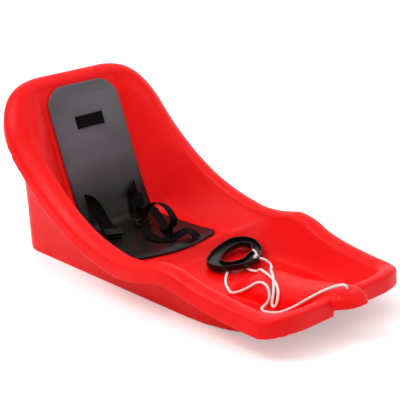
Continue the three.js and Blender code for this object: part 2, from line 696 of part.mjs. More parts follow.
// Stations down the back and along the seat, at the floor's own frames, with the way out of the floor at each
function seatLine() {
  const first = backAt(MAT_TOP_HEIGHT);
  const last = REAR + matFrontShare * SLED_LENGTH;
  const inside = floorPlan.filter(([x, y]) => y > 0 && x > first + MAT_GAP && x < last - MAT_GAP).map(([x]) => x);
  const extra = matExtraShares.map((share) => first + share * (inside[0] - first));
  const tail = matExtraShares.map((share) => last - share * (last - inside.at(-1))).reverse();
  const xs = [first, ...extra, ...inside, ...tail, last];
  const places = xs.map((x) => [x, floorLine(x)]);
  let run = 0;
  return places.map(([x, z], i) => {
    const [x0, z0] = places[Math.max(i - 1, 0)];
    const [x1, z1] = places[Math.min(i + 1, places.length - 1)];
    const before = Math.atan2(z - z0, x - x0);
    const after = Math.atan2(z1 - z, x1 - x);
    const turn = i === 0 ? after : i === places.length - 1 ? before : (before + after) / 2;
    const mitre = i === 0 || i === places.length - 1 ? 1 : Math.cos((after - before) / 2);
    run += Math.hypot(x - x0, z - z0);
    return { x, z, run, out: [-Math.sin(turn) / mitre, Math.cos(turn) / mitre] };
  });
}

// Soft mat that lies down the back and along the seat, thin at its edges, with rounded ends
function matSolid() {
  const line = seatLine();
  const total = line.at(-1).run;
  const halfAt = (run) => {
    const fromTop = Math.min(run / MAT_TOP_ROUND, 1);
    const fromFront = Math.min((total - run) / MAT_FRONT_ROUND, 1);
    const top = (1 - (1 - fromTop) ** 2) ** 0.5;
    const front = (1 - (1 - fromFront) ** 2) ** 0.5;
    const flare = MAT_FLARE * Math.max(0, (run / total - matFlareShare) / (1 - matFlareShare));
    return MAT_WIDTH / 2 + flare - MAT_TOP_ROUND * (1 - top) - MAT_FRONT_ROUND * (1 - front);
  };
  const sections = line.map(({ x, z, run, out }) => {
    const half = halfAt(run);
    const at = (y, height) => [x + out[0] * height, y, z + out[1] * height];
    const upper = matEdgeShares.map(([across, high]) => at(half * across, MAT_GAP + MAT_THICKNESS * high));
    const other = matEdgeShares.toReversed().map(([across, high]) =>
      at(-half * across, MAT_GAP + MAT_THICKNESS * high));
    return [at(half, MAT_GAP), ...upper, ...other, at(-half, MAT_GAP)];
  });
  return loftSections(sections).subtract(strapSlots(SLOT_CLEARANCE));
}

// A flat ribbon through stations of a place and a direction across, smoothed between them
function ribbon(stations, width, thickness, steps) {
  const places = new THREE.CatmullRomCurve3(stations.map(([place]) => new THREE.Vector3(...place)));
  const turns = new THREE.CatmullRomCurve3(stations.map(([, across]) => new THREE.Vector3(...across)));
  const count = (stations.length - 1) * steps;
  const sections = [];
  for (let k = 0; k <= count; k++) {
    const share = k / count;
    const middle = places.getPoint(share);
    const along = places.getTangent(share);
    const across = turns.getPoint(share);
    across.addScaledVector(along, -across.dot(along)).normalize();
    const out = along.clone().cross(across);
    const corner = (a, b) =>
      middle.clone().addScaledVector(across, (a * width) / 2).addScaledVector(out, (b * thickness) / 2).toArray();
    sections.push([corner(1, 1), corner(-1, 1), corner(-1, -1), corner(1, -1)]);
  }
  return loftSections(sections);
}

const matTop = MAT_GAP + MAT_THICKNESS;
const layer = WEBBING_THICKNESS / 2 + WEBBING_GAP;
const wrapRadius = BAR_DIAMETER / 2 + layer;
// A buckle half's bar, as high over the mat as the buckle's own half thickness and the webbing ask
function barPlace([along, across], straight) {
  const x = REAR + along * SLED_LENGTH;
  const lift = Math.max(BUCKLE_THICKNESS / 2 + 3 * WEBBING_GAP, wrapRadius + layer);
  return [x, (across * MAT_WIDTH) / 2, floorHeight(x - straight - WEBBING_WIDTH / 2) + matTop + lift];
}
const socketBar = barPlace(socketBarShares, SOCKET_STRAIGHT);
const plugBar = barPlace(plugBarShares, PLUG_STRAIGHT);
// Round rope through hand-chosen points, cut square at its ends
function ropeSolid(points) {
  const path = new THREE.CatmullRomCurve3(points.map((point) => new THREE.Vector3(...point)));
  const section = new THREE.Shape();
  section.absarc(0, 0, ROPE_DIAMETER / 2, 0, 2 * Math.PI);
  const tube = new THREE.ExtrudeGeometry(section, {
    extrudePath: path,
    steps: ROPE_STEPS,
    curveSegments: ROPE_SIDES / 2,
    bevelEnabled: false,
  });
  return geometrySolid(tube);
}
// Stopper knot just past the rope's end, in the direction that the end points
function knotSolid(end, direction, gap) {
  const knot = new THREE.SphereGeometry(KNOT_DIAMETER / 2, KNOT_SIDES, KNOT_SIDES / 2);
  knot.scale(1, knotLengthShare, 1);
  const place = end.clone().addScaledVector(direction, (KNOT_DIAMETER / 2) * knotLengthShare + gap);
  const turn = new THREE.Quaternion().setFromUnitVectors(new THREE.Vector3(0, 1, 0), direction.clone().normalize());
  return geometrySolid(knot, new THREE.Matrix4().compose(place, turn, new THREE.Vector3(1, 1, 1)));
}
const handleMatrix = (() => {
  const x = REAR + handleShares[0] * SLED_LENGTH;
  const place = new THREE.Matrix4().makeTranslation(x, handleShares[1] * HALF_WIDTH, floorHeight(x) + HANDLE_LIFT);
  return place
    .multiply(new THREE.Matrix4().makeRotationZ(THREE.MathUtils.degToRad(HANDLE_TURN)))
    .multiply(new THREE.Matrix4().makeRotationX(THREE.MathUtils.degToRad(HANDLE_RISE)));
})();

// Webbing behind the back, from an upper slot down to a lower one, turned to lie flat on the way
function hiddenRun(side) {
  const upper = UPPER_SLOT_HEIGHT;
  const lower = LOWER_SLOT_HEIGHT;
  const slope = slopeAt(floorHeight, backAt(upper));
  const length = Math.hypot(1, slope);
  const down = [1 / length, 0, slope / length];
  const sideways = [0, side, 0];
  const between = (a, b, share) => a.map((v, i) => v * (1 - share) + b[i] * share);
  const yUpper = (side * UPPER_SLOT_SPACING) / 2;
  const yLower = (side * LOWER_SLOT_SPACING) / 2;
  const fall = upper - lower;
  const place = (share, out, turn) => [
    backPoint(upper - fall * share, -out, yUpper + (yLower - yUpper) * share),
    between(down, sideways, turn),
  ];
  return hiddenShares.map(([share, out, turn]) => place(share, out * HIDDEN_DEPTH - matTop - layer, turn));
}

// Stations of a turn round a buckle's bar, from below it to above it
function barTurn(bar, heading, across, back) {
  const at = (forward, up) => [
    bar[0] + heading[0] * forward,
    bar[1] + heading[1] * forward,
    bar[2] + up,
  ];
  const arc = [];
  for (let k = 0; k <= BAR_TURN_STEPS; k++) {
    const angle = (k / BAR_TURN_STEPS - 0.5) * Math.PI;
    arc.push([at(wrapRadius * Math.cos(angle), wrapRadius * Math.sin(angle)), across]);
  }
  return [[at(-back, -wrapRadius), across], [at(-back / 2, -wrapRadius), across], ...arc, [at(-back / 3, wrapRadius), across]];
}

// The whole belt in one length: socket, near slots, across the back, far slots, plug and loose tail
function webbingSolid() {
  const blend = (a, b, share) => a.map((v, i) => v * (1 - share) + b[i] * share);
  const lap = (side, bar, heading, across, straight) => {
    const out = backPoint(LOWER_SLOT_HEIGHT, matTop + layer, (side * LOWER_SLOT_SPACING) / 2);
    const landing = [bar[0] - heading[0] * straight, bar[1] - heading[1] * straight, bar[2] - wrapRadius];
    const slope = slopeAt(floorHeight, backAt(LOWER_SLOT_HEIGHT));
    const length = Math.hypot(1, slope);
    const down = [1 / length, 0, slope / length];
    return lapShares.map(([forward, fall, turn]) => [
      [
        out[0] + (landing[0] - out[0]) * forward,
        out[1] + (landing[1] - out[1]) * forward,
        out[2] + (landing[2] - out[2]) * fall,
      ],
      blend(down, across, turn),
    ]);
  };
  const nearAcross = [socketHeading[1], -socketHeading[0], 0];
  const farAcross = [-plugHeading[1], plugHeading[0], 0];
  const socketTurn = barTurn(socketBar, socketHeading, nearAcross, SOCKET_STRAIGHT);
  const plugTurn = barTurn(plugBar, plugHeading, farAcross, PLUG_STRAIGHT);
  const sewn = [
    [socketBar[0] - socketHeading[0] * SEWN_LENGTH, socketBar[1] - socketHeading[1] * SEWN_LENGTH,
      socketBar[2] - wrapRadius + 2 * layer],
    nearAcross,
  ];
  const tail = tailShares.map(([x, y, z, a, b, c]) => [
    [plugBar[0] + x * WEBBING_WIDTH, plugBar[1] + y * WEBBING_WIDTH, plugBar[2] + z * WEBBING_WIDTH],
    [a, b, c],
  ]);
  const window = backPoint(UPPER_SLOT_HEIGHT, matTop + layer, 0);
  const farRun = hiddenRun(1);
  return ribbon([
    sewn,
    ...socketTurn.toReversed(),
    ...lap(-1, socketBar, socketHeading, nearAcross, SOCKET_STRAIGHT).toReversed(),
    ...hiddenRun(-1).toReversed().slice(1),
    [window, farRun[0][1]],
    ...farRun.slice(0, -1),
    ...lap(1, plugBar, plugHeading, farAcross, PLUG_STRAIGHT),
    ...plugTurn,
    ...tail,
  ], WEBBING_WIDTH, WEBBING_THICKNESS, RIBBON_STEPS);
}

// Placement of a buckle half: its bar at a place and its length along a heading
function buckleMatrix(bar, heading) {
  return new THREE.Matrix4().makeRotationZ(Math.atan2(heading[1], heading[0])).setPosition(...bar);
}
const boxSolid = (x0, x1, y0, y1, z0, z1) => {
  const block = new THREE.BoxGeometry(x1 - x0, y1 - y0, z1 - z0);
  block.translate((x0 + x1) / 2, (y0 + y1) / 2, (z0 + z1) / 2);
  return geometrySolid(block);
};
// A plate with rounded corners in plan and softened edges
function softPlate(x0, x1, half, round, thickness, soften) {
  const shape = new THREE.Shape();
  const [a, b, h] = [x0 + soften, x1 - soften, half - soften];
  shape.moveTo(a + round, -h).lineTo(b - round, -h).quadraticCurveTo(b, -h, b, -h + round);
  shape.lineTo(b, h - round).quadraticCurveTo(b, h, b - round, h);
  shape.lineTo(a + round, h).quadraticCurveTo(a, h, a, h - round);
  shape.lineTo(a, -h + round).quadraticCurveTo(a, -h, a + round, -h);
  const plate = new THREE.ExtrudeGeometry(shape, {
    depth: thickness - 2 * soften,
    bevelThickness: soften,
    bevelSize: soften,
    bevelSegments: 1,
    curveSegments: 3,
  });
  plate.translate(0, 0, soften - thickness / 2);
  return geometrySolid(plate);
}
// Round bar across a buckle, held at both ends by its arms
function crossBar(x, diameter) {
  const reach = BUCKLE_WIDTH / 2 - BUCKLE_ARM / 2;
  const bar = new THREE.CylinderGeometry(diameter / 2, diameter / 2, 2 * reach, BAR_SIDES);
  return geometrySolid(bar.translate(x, 0, 0));
}

// Female half: hollow body with side windows and grip ribs, and the bar that the webbing is sewn round
function socketSolid() {
  const half = BUCKLE_WIDTH / 2;
  const back = -BUCKLE_ARM_REACH;
  const inner = half - BUCKLE_ARM;
  const front = BUCKLE_THROAT + SOCKET_LENGTH;
  const mouthHalf = half - BUCKLE_SKIN;
  const mouthHigh = BUCKLE_THICKNESS / 2 - BUCKLE_SKIN;
  let body = softPlate(back, front, half, BUCKLE_ARM, BUCKLE_THICKNESS, BUCKLE_SOFTEN)
    .subtract(boxSolid(back - OVERRUN, BUCKLE_THROAT, -inner, inner, -OVERRUN, OVERRUN))
    .subtract(boxSolid(BUCKLE_THROAT + BUCKLE_SKIN, front + OVERRUN, -mouthHalf, mouthHalf, -mouthHigh, mouthHigh));
  const windowStart = BUCKLE_THROAT + SOCKET_LENGTH * windowShares[0];
  const windowEnd = BUCKLE_THROAT + SOCKET_LENGTH * windowShares[1];
  body = body.subtract(boxSolid(windowStart, windowEnd, mouthHalf - BUCKLE_SKIN, half + OVERRUN, -mouthHigh, mouthHigh));
  body = body.subtract(boxSolid(windowStart, windowEnd, -half - OVERRUN, BUCKLE_SKIN - mouthHalf, -mouthHigh, mouthHigh));
  for (const share of ribShares) {
    const x = BUCKLE_THROAT + SOCKET_LENGTH * share;
    const top = BUCKLE_THICKNESS / 2;
    body = body.add(boxSolid(x - RIB_WIDTH / 2, x + RIB_WIDTH / 2, -inner, inner, top - BUCKLE_SKIN / 2, top + RIB_HEIGHT));
  }
  return body.add(crossBar(0, BAR_DIAMETER)).transform(buckleMatrix(socketBar, socketHeading).toArray());
}

// Male half: frame with the bar that the webbing turns round, a shoulder, a centre guide and two springy side arms with catches
function plugSolid() {
  const half = BUCKLE_WIDTH / 2;
  const back = -BUCKLE_ARM_REACH;
  const inner = half - BUCKLE_ARM;
  const shoulder = BUCKLE_THROAT + SHOULDER_LENGTH;
  const tip = shoulder + PRONG_LENGTH;
  const high = BUCKLE_THICKNESS / 2 - BUCKLE_SKIN - BUCKLE_PLAY;
  let body = softPlate(back, shoulder, half, BUCKLE_ARM, BUCKLE_THICKNESS, BUCKLE_SOFTEN)
    .subtract(boxSolid(back - OVERRUN, BUCKLE_THROAT, -inner, inner, -OVERRUN, OVERRUN))
    .add(crossBar(0, BAR_DIAMETER));
  body = body.add(boxSolid(shoulder - BUCKLE_SKIN, tip, -GUIDE_WIDTH / 2, GUIDE_WIDTH / 2, -high / 2, high / 2));
  for (const side of [-1, 1]) {
    const arm = new THREE.Shape(prongShares.map(([along, across]) =>
      new THREE.Vector2(shoulder - BUCKLE_SKIN + along * (PRONG_LENGTH + BUCKLE_SKIN), side * across * half)));
    const block = new THREE.ExtrudeGeometry(arm, { depth: 2 * high, bevelEnabled: false });
    body = body.add(geometrySolid(block.translate(0, 0, -high)));
  }
  return body.transform(buckleMatrix(plugBar, plugHeading).toArray());
}

// Rounded triangle with bulging sides, its long side along Y and its point towards +X, moved in by a distance,
// and by some more on its long side
function triangleOutline(inset, grip) {
  const round = HANDLE_ROUND - inset;
  const half = HANDLE_LENGTH / 2 - HANDLE_ROUND - grip;
  const corners = [
    [HANDLE_ROUND + grip, -half],
    [HANDLE_DEPTH - HANDLE_ROUND, 0],
    [HANDLE_ROUND + grip, half],
  ];
  const points = [];
  corners.forEach(([x, y], i) => {
    const [x0, y0] = corners[(i + 2) % 3];
    const [x1, y1] = corners[(i + 1) % 3];
    const from = Math.atan2(y - y0, x - x0) - Math.PI / 2;
    let to = Math.atan2(y1 - y, x1 - x) - Math.PI / 2;
    while (to < from) to += 2 * Math.PI;
    for (let k = 0; k <= HANDLE_CORNER_STEPS; k++) {
      const angle = from + ((to - from) * k) / HANDLE_CORNER_STEPS;
      points.push([x + round * Math.cos(angle), y + round * Math.sin(angle)]);
    }
    for (let k = 1; k < HANDLE_SIDE_STEPS; k++) {
      const share = k / HANDLE_SIDE_STEPS;
      const reach = round + HANDLE_BULGE * 4 * share * (1 - share);
      points.push([x + (x1 - x) * share + reach * Math.cos(to), y + (y1 - y) * share + reach * Math.sin(to)]);
    }
  });
  return points;
}

// Closed handle with a grip side, moulded as a channel that is open at the top, with a post in each corner
function handleSolid() {
  const opening = triangleOutline(HANDLE_BAND, HANDLE_GRIP_EXTRA);
  const innerWall = triangleOutline(HANDLE_BAND - HANDLE_WALL, HANDLE_GRIP_EXTRA);
  const frame = prism(triangleOutline(0, 0), 0, HANDLE_HEIGHT)
    .subtract(prism(opening, -OVERRUN, HANDLE_HEIGHT + OVERRUN));
  const channel = prism(triangleOutline(HANDLE_WALL, 0), HANDLE_WALL, HANDLE_HEIGHT + OVERRUN)
    .subtract(prism(innerWall, 0, HANDLE_HEIGHT + 2 * OVERRUN));
  let handle = frame.subtract(channel);
  const half = HANDLE_LENGTH / 2 - HANDLE_BAND / 2 - HANDLE_WALL;
  for (const y of [-half, half]) {
    const post = new THREE.CylinderGeometry(POST_DIAMETER / 2, POST_DIAMETER / 2, HANDLE_HEIGHT - HANDLE_WALL, POST_SIDES);
    post.rotateX(Math.PI / 2).translate(HANDLE_ROUND * postShare, y, HANDLE_HEIGHT / 2 - HANDLE_WALL / 2);
    handle = handle.add(geometrySolid(post));
  }
  const hole = new THREE.CylinderGeometry(HANDLE_HOLE / 2, HANDLE_HOLE / 2, HANDLE_BAND * 2, POST_SIDES);
  hole.rotateZ(Math.PI / 2).translate(HANDLE_DEPTH, 0, HANDLE_WALL + KNOT_DIAMETER / 2 + WEBBING_GAP);
  return handle.subtract(geometrySolid(hole)).transform(handleMatrix.toArray());
}

const sled = new THREE.Group();
function addPiece(name, solid, material) {
  const mesh = new THREE.Mesh(toGeometry(solid), material);
  mesh.name = name;
  sled.add(mesh);
}
const red = new THREE.MeshStandardMaterial({ color: 0xf52a28, roughness: 0.45 });
const grey = new THREE.MeshStandardMaterial({ color: 0x58575b, roughness: 0.6 });
const black = new THREE.MeshStandardMaterial({ color: 0x1c1c1c, roughness: 0.7 });
const white = new THREE.MeshStandardMaterial({ color: 0xf4f2ee, roughness: 0.85 });
const gloss = new THREE.MeshStandardMaterial({ color: 0x1a1414, roughness: 0.35 });
addPiece("shell", shellSolid(), red);
addPiece("seat_mat", matSolid(), grey);
addPiece("harness_webbing", webbingSolid(), black);
addPiece("buckle_socket", socketSolid(), gloss);
addPiece("buckle_plug", plugSolid(), gloss);
addPiece("pull_handle", handleSolid(), gloss);
addPiece("pull_rope", ropeSolid(ropePoints), white);
addPiece("nose_knot", knotSolid(new THREE.Vector3(...ropePoints[0]), new THREE.Vector3(0, 0, -1), WEBBING_GAP), white);
addPiece("handle_knot", knotSolid(new THREE.Vector3(...ropePoints.at(-1)), new THREE.Vector3(-0.95, -0.31, 0), KNOT_GAP), white);

export default sled;
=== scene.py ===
# Child's pull sled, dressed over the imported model: moulded shell, foam mat, belt, buckle, rope and handle.
# Metres, +X to the nose, +Y to the child's left, +Z up. Tables and lengths of shapes are in millimetres.
import math

import bmesh
import bpy
import numpy as np
from mathutils import Matrix, Vector
from mathutils.kdtree import KDTree


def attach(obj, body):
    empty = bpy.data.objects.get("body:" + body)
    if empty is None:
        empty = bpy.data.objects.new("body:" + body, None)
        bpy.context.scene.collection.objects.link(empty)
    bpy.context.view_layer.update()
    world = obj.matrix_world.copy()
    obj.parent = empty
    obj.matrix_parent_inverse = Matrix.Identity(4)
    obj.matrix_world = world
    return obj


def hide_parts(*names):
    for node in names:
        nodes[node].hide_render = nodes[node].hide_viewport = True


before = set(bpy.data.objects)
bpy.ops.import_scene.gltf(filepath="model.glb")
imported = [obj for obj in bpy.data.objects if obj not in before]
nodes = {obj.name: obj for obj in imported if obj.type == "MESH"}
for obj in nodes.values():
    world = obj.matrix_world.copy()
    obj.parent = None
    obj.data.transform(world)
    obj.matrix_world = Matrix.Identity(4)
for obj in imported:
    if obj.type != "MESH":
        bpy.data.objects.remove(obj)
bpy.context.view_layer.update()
MM = 0.001


def put(name, data):
    """Adds an object to the scene."""
    piece = bpy.data.objects.new(name, data)
    bpy.context.scene.collection.objects.link(piece)
    return piece


# Camera
CAMERA_PLACE = (1.617, -1.580, 0.978)
CAMERA_AZIMUTH = math.radians(45.7)
CAMERA_FALL = math.radians(19.95)
LENS = 116.0


def make_camera():
    data = bpy.data.cameras.new("camera")
    data.lens = LENS
    data.sensor_width = 36.0
    data.clip_end = 20.0
    camera = put("camera", data)
    sin_a, cos_a = math.sin(CAMERA_AZIMUTH), math.cos(CAMERA_AZIMUTH)
    sin_t, cos_t = math.sin(CAMERA_FALL), math.cos(CAMERA_FALL)
    ahead = Vector((-sin_a * cos_t, cos_a * cos_t, -sin_t))
    right = Vector((cos_a, sin_a, 0.0))
    up = right.cross(ahead)
    turn = Matrix((right, up, -ahead)).transposed().to_4x4()
    camera.matrix_world = Matrix.Translation(CAMERA_PLACE) @ turn
    bpy.context.scene.camera = camera


make_camera()


# Mesh helpers
CURVE_STEPS = 24
WELD, WELD_SOLID = 1e-7, 2e-6


def make_block(name, rings, faces):
    """A smooth block with the points of its rings, and its faces turned outwards."""
    mesh = bpy.data.meshes.new(name)
    mesh.from_pydata((np.vstack(rings) * MM).tolist(), [], faces)
    mesh.validate()
    mesh.update()
    mesh.shade_smooth()
    work = bmesh.new()
    work.from_mesh(mesh)
    bmesh.ops.remove_doubles(work, verts=work.verts, dist=WELD)
    bmesh.ops.recalc_face_normals(work, faces=work.faces)
    work.to_mesh(mesh)
    work.free()
    mesh.update()
    return put(name, mesh)


def settle(piece):
    """Applies the piece's modifiers to its mesh."""
    bpy.context.view_layer.update()
    graph = bpy.context.evaluated_depsgraph_get()
    mesh = bpy.data.meshes.new_from_object(piece.evaluated_get(graph))
    mesh.name = piece.data.name
    old = piece.data
    piece.modifiers.clear()
    piece.data = mesh
    bpy.data.meshes.remove(old)
    return piece


def combine(piece, how, others):
    """Joins or cuts a piece with others, and removes those."""
    for other in others:
        change = piece.modifiers.new("change", "BOOLEAN")
        change.operation = how
        change.solver = "MANIFOLD"
        change.object = other
        settle(piece)
        bpy.data.objects.remove(other)
    return piece


def join(piece, *others):
    return combine(piece, "UNION", others)


def cut(piece, *others):
    return combine(piece, "DIFFERENCE", others)


def copy_of(piece):
    return put(piece.name, piece.data.copy())


def smooth_by_angle(piece, degrees):
    piece.data.shade_smooth()
    piece.data.set_sharp_from_angle(angle=math.radians(degrees))


def catmull(points, steps):
    """A centripetal Catmull-Rom curve through given points, at even steps of its own parameter."""
    p = np.array(points, float)
    p = np.vstack([2 * p[0] - p[1], p, 2 * p[-1] - p[-2]])
    out = []
    for i in range(1, len(p) - 2):
        a, b, c, d = p[i - 1:i + 3]
        d0, d1, d2 = [max(np.linalg.norm(p[i + k] - p[i + k - 1]) ** 0.5, 1e-4) for k in (0, 1, 2)]
        t1 = ((b - a) / d0 - (c - a) / (d0 + d1) + (c - b) / d1) * d1
        t2 = ((c - b) / d1 - (d - b) / (d1 + d2) + (d - c) / d2) * d1
        square, cube = 3 * (c - b) - 2 * t1 - t2, 2 * (b - c) + t1 + t2
        out += [b + t1 * t + square * t ** 2 + cube * t ** 3 for t in np.arange(steps) / steps]
    out.append(p[-2])
    return np.array(out)


def running(points):
    """How far along a line of points each of them lies."""
    return np.concatenate([[0], np.cumsum(np.linalg.norm(np.diff(points, axis=0), axis=1))])


def curve_points(points, step):
    """The curve through given points, at even distances."""
    fine = catmull(points, CURVE_STEPS)
    run = running(fine)
    even = np.linspace(0, run[-1], max(int(round(run[-1] / step)), 4) + 1)
    return np.stack([np.interp(even, run, fine[:, k]) for k in range(3)], 1)


def unit(rows):
    return rows / np.linalg.norm(rows, axis=1)[:, None]


def tube_frames(path):
    along = unit(np.gradient(path, axis=0))
    side = np.cross(along[0], (0.3, 0.5, 0.8))
    side /= np.linalg.norm(side)
    sides = []
    for t in along:
        side = side - t * side.dot(t)
        side /= np.linalg.norm(side)
        sides.append(side.copy())
    sides = np.array(sides)
    return sides, np.cross(along, sides)


def ring_about(place, side, up, radius, count):
    """A ring round a place, with one radius or one for each of its points."""
    angles = 2 * math.pi * np.arange(count) / count
    return place + np.outer(radius * np.cos(angles), side) + np.outer(radius * np.sin(angles), up)


def band_faces(rows, across, closed=False):
    faces = []
    for s in range(rows if closed else rows - 1):
        t = (s + 1) % rows
        for k in range(across):
            j = (k + 1) % across
            faces.append((s * across + k, s * across + j, t * across + j, t * across + k))
    return faces


def loft_rings(name, rings):
    """A block between rings that are mirrored left and right, with flat strips across both ends."""
    n = len(rings[0])
    faces = band_faces(len(rings), n)
    last = (len(rings) - 1) * n
    for i in range(n // 2 - 1):
        faces.append((i, n - 1 - i, n - 2 - i, i + 1))
        faces.append((last + i, last + i + 1, last + n - 2 - i, last + n - 1 - i))
    return make_block(name, rings, faces)


def loft_sections(name, sections, closed=False):
    """A block through sections, closed into a loop or with a face at each end."""
    n, m = len(sections), len(sections[0])
    faces = band_faces(n, m, closed)
    if not closed:
        faces.append(tuple(range(m))[::-1])
        faces.append(tuple((n - 1) * m + k for k in range(m)))
    return make_block(name, sections, faces)


# Rope
ROPE_DIAMETER = 5.0
ROPE_SOFTENING = 30
EASED_BENDS = ((105, 47.5, 30), (120, 68, 28))
BEND_REACH, BEND_PASSES = 22.0, 150
BRAID_SIDES, BRAID_STEP, BRAID_LIFT, BRAID_PITCH = 16, 1.1, 0.05, 13.0
KNOT_STEPS, KNOT_START, KNOT_SWEEP, KNOT_DEPTH, KNOT_STEP, KNOT_ROPE = 12, 0.12, 1.76, 0.62, 0.6, 4.4
ROPE_POINTS = [
    (357, 0, 82), (357, 0, 89.5), (352.5, -1.5, 96.3), (343.5, -7.5, 94), (336.5, -17, 91.4),
    (329, -27.5, 86.8), (320, -36.5, 79.8), (310, -44, 71.2), (298, -49, 61), (285, -52.5, 50),
    (270, -55, 39.5), (257, -57.5, 31.5), (248, -61.5, 28.6), (240, -67, 28.2), (231, -70.5, 28.2),
    (222, -68.5, 28.2), (217.5, -61.5, 29), (220.5, -57, 33.5), (225, -54.5, 40), (225, -51.5, 47.5),
    (220.5, -47.5, 54.2), (213.5, -43, 58.8), (203.3, -39.2, 61.6), (190.5, -38, 61.4),
    (182.6, -41.5, 58.6), (176, -48, 52), (162, -54, 41.5), (147, -56, 33), (134, -54.5, 28.2),
    (119, -46, 27.3), (102, -35, 27.3), (86, -20, 27.3), (72.5, -4.5, 27.3), (61.5, 10, 27.3),
    (54.5, 23, 27.3), (52.5, 37, 27.3), (56.5, 48.5, 27.3), (64, 52, 27.3), (72, 48, 27.3), (81, 45, 27.3),
    (90, 47, 27.3), (97, 50, 27.8), (105, 47.5, 30), (116, 36.5, 38.5), (134, 19, 51.2), (152, 5, 60.5),
    (170, -6, 65), (187, -13.5, 66.8), (203, -20.5, 67), (217, -28, 66.2), (229, -36, 63.2),
    (237.5, -43, 58.2), (243, -50, 50), (244.5, -54.5, 42), (243, -57, 36.8), (239, -58, 34.6),
    (235.2, -57, 37), (234, -54.5, 43.5), (232, -50, 51.8), (226, -42.5, 61.5), (214, -30, 69.7),
    (203, -20, 72.8), (190, -8, 70.4), (176, 5, 67), (162, 20, 64), (148, 38, 55), (134, 54, 39),
    (120, 68, 28.2), (109, 80, 27.6), (102, 88, 29), (97, 89, 33), (93.5, 85, 37.2), (89.5, 80.4, 40.8),
    (85.5, 78.3, 41.8), (81, 76.8, 41.8), (78.8, 76.1, 41.8),
]


def braided_tube(name, path, radius):
    """A tube with the raised diamonds of a braid: strands that wind both ways."""
    sides, ups = tube_frames(path)
    angles = 2 * math.pi * np.arange(BRAID_SIDES) / BRAID_SIDES
    rings = []
    for i, place in enumerate(path):
        wind = 2 * math.pi * i * BRAID_STEP / BRAID_PITCH
        relief = np.cos(4 * (angles + wind)) * np.cos(4 * (angles - wind))
        radii = radius * (1 - BRAID_LIFT + BRAID_LIFT * relief)
        rings.append(ring_about(place, sides[i], ups[i], radii, BRAID_SIDES))
    return loft_sections(name, rings)


def overhand(name, place, toward, size, stub=()):
    """A small stopper knot: a trefoil of the rope, and the free end that sticks out of it."""
    points = []
    for k in range(KNOT_STEPS + 1):
        t = (KNOT_START + KNOT_SWEEP * k / KNOT_STEPS) * math.pi
        points.append((
            size * (math.sin(t) + 2 * math.sin(2 * t)) / 3,
            size * (math.cos(t) - 2 * math.cos(2 * t)) / 3,
            -size * KNOT_DEPTH * math.sin(3 * t),
        ))
    turn = Vector((0, 0, 1)).rotation_difference(Vector(toward)).to_matrix()
    path = [turn @ Vector(p) + Vector(place) for p in curve_points(points, KNOT_STEP)]
    if stub:
        path = curve_points([*path[::4], *[Vector(p) + Vector(place) for p in stub]], KNOT_STEP)
    return braided_tube(name, np.array(path), KNOT_ROPE / 2)


rope_path = curve_points(ROPE_POINTS, BRAID_STEP)
for _ in range(ROPE_SOFTENING):
    rope_path[1:-1] = rope_path[1:-1] * 0.5 + (rope_path[2:] + rope_path[:-2]) * 0.25
for bend in EASED_BENDS:
    share = 0.5 * np.exp(-(np.linalg.norm(rope_path[1:-1] - bend, axis=1) / BEND_REACH) ** 2)[:, None]
    for _ in range(BEND_PASSES):
        rope_path[1:-1] += ((rope_path[2:] + rope_path[:-2]) / 2 - rope_path[1:-1]) * share
rope = braided_tube("rope", rope_path, ROPE_DIAMETER / 2)

# Shell: the same tables as the frame's, walked in finer steps
LENGTH, WIDTH, HEIGHT = 788.0, 412.0, 336.0
HALF, REAR, NOSE = WIDTH / 2, -LENGTH / 2, LENGTH / 2
WALL = 3.6
SKIN_SHARES = (1.2, 0.4)
OVERRUN = 60.0
RIM_WIDTH, RIM_CROWN, RIM_ROUND = 38.0, 9.0, 4.0
SKIRT_HEIGHT, SKIRT_FLARE, SKIRT_GAP, SKIRT_BEAD = 26.0, 3.0, 13.0, 5.4
FOOT_BEAD, FRONT_LIFT, FRONT_DROP = 1.5, 2.5, 4.0
RIM_CORNERS = ((84, 128), (60, 84))
EDGE_CORNERS = ((62, 96), (48, 62))
FLOOR_CORNERS = ((10, 16), (48, 88))
BASE_CORNERS = ((52, 96), (54, 112))
RIM_FRONT, RIM_FRONT_WIDTH, FLOOR_FRONT, BASE_FRONT, BASE_REAR = 39.0, 22.0, 66.0, 27.0, 18.0
CORNER_FULLNESS = 2.4
CORNER_STEPS = 24
SIDE_STEPS = 110
KEEL_WIDTH, KEEL_SPACING, KEEL_STEPS = 14.0, 96.0, 40
KEEL_SHARES = (0.2, 0.8)
PROW_STEPS, PROW_ARC, PROW_SQUARENESS = 60, 36, 0.72
HOLE_DIAMETER, HOLE_SETBACK = 9.0, 37.0
FLUTES, FLUTE_RADIUS, FLUTE_DEPTH, FLUTE_START, FLUTE_SPREAD, FLUTE_STEPS = 11, 1.4, 1.5, 15.0, 174.0, 24
FLUTE_END, FLUTE_SIDE_SHARE, FLUTE_SIDES, FLUTE_SEARCH, FLUTE_TIP, FLUTE_TAPER = 2.5, 0.93, 12, 0.5, 0.4, 0.35
NOTCH_WIDTH, NOTCH_DEPTH, NOTCH_APEX, NOTCH_SLOPE, NOTCH_INSIDE = 8.0, 15.0, 34.0, 15.0, 8.0
VOXEL, QUICK_SHARE = 2.0, 1.5
SOFT_PASSES, FOOT_PASSES, FOOT_SPREAD, FOOT_START, FOOT_TOP, FOOT_END, FOOT_FADE = 8, 12, 9.0, 14, 62, 300, 20
FRONT_START, FRONT_REACH = 190, 130
BACK_SHARE, BACK_HALVINGS, STATIONS = 0.19, 40, 400

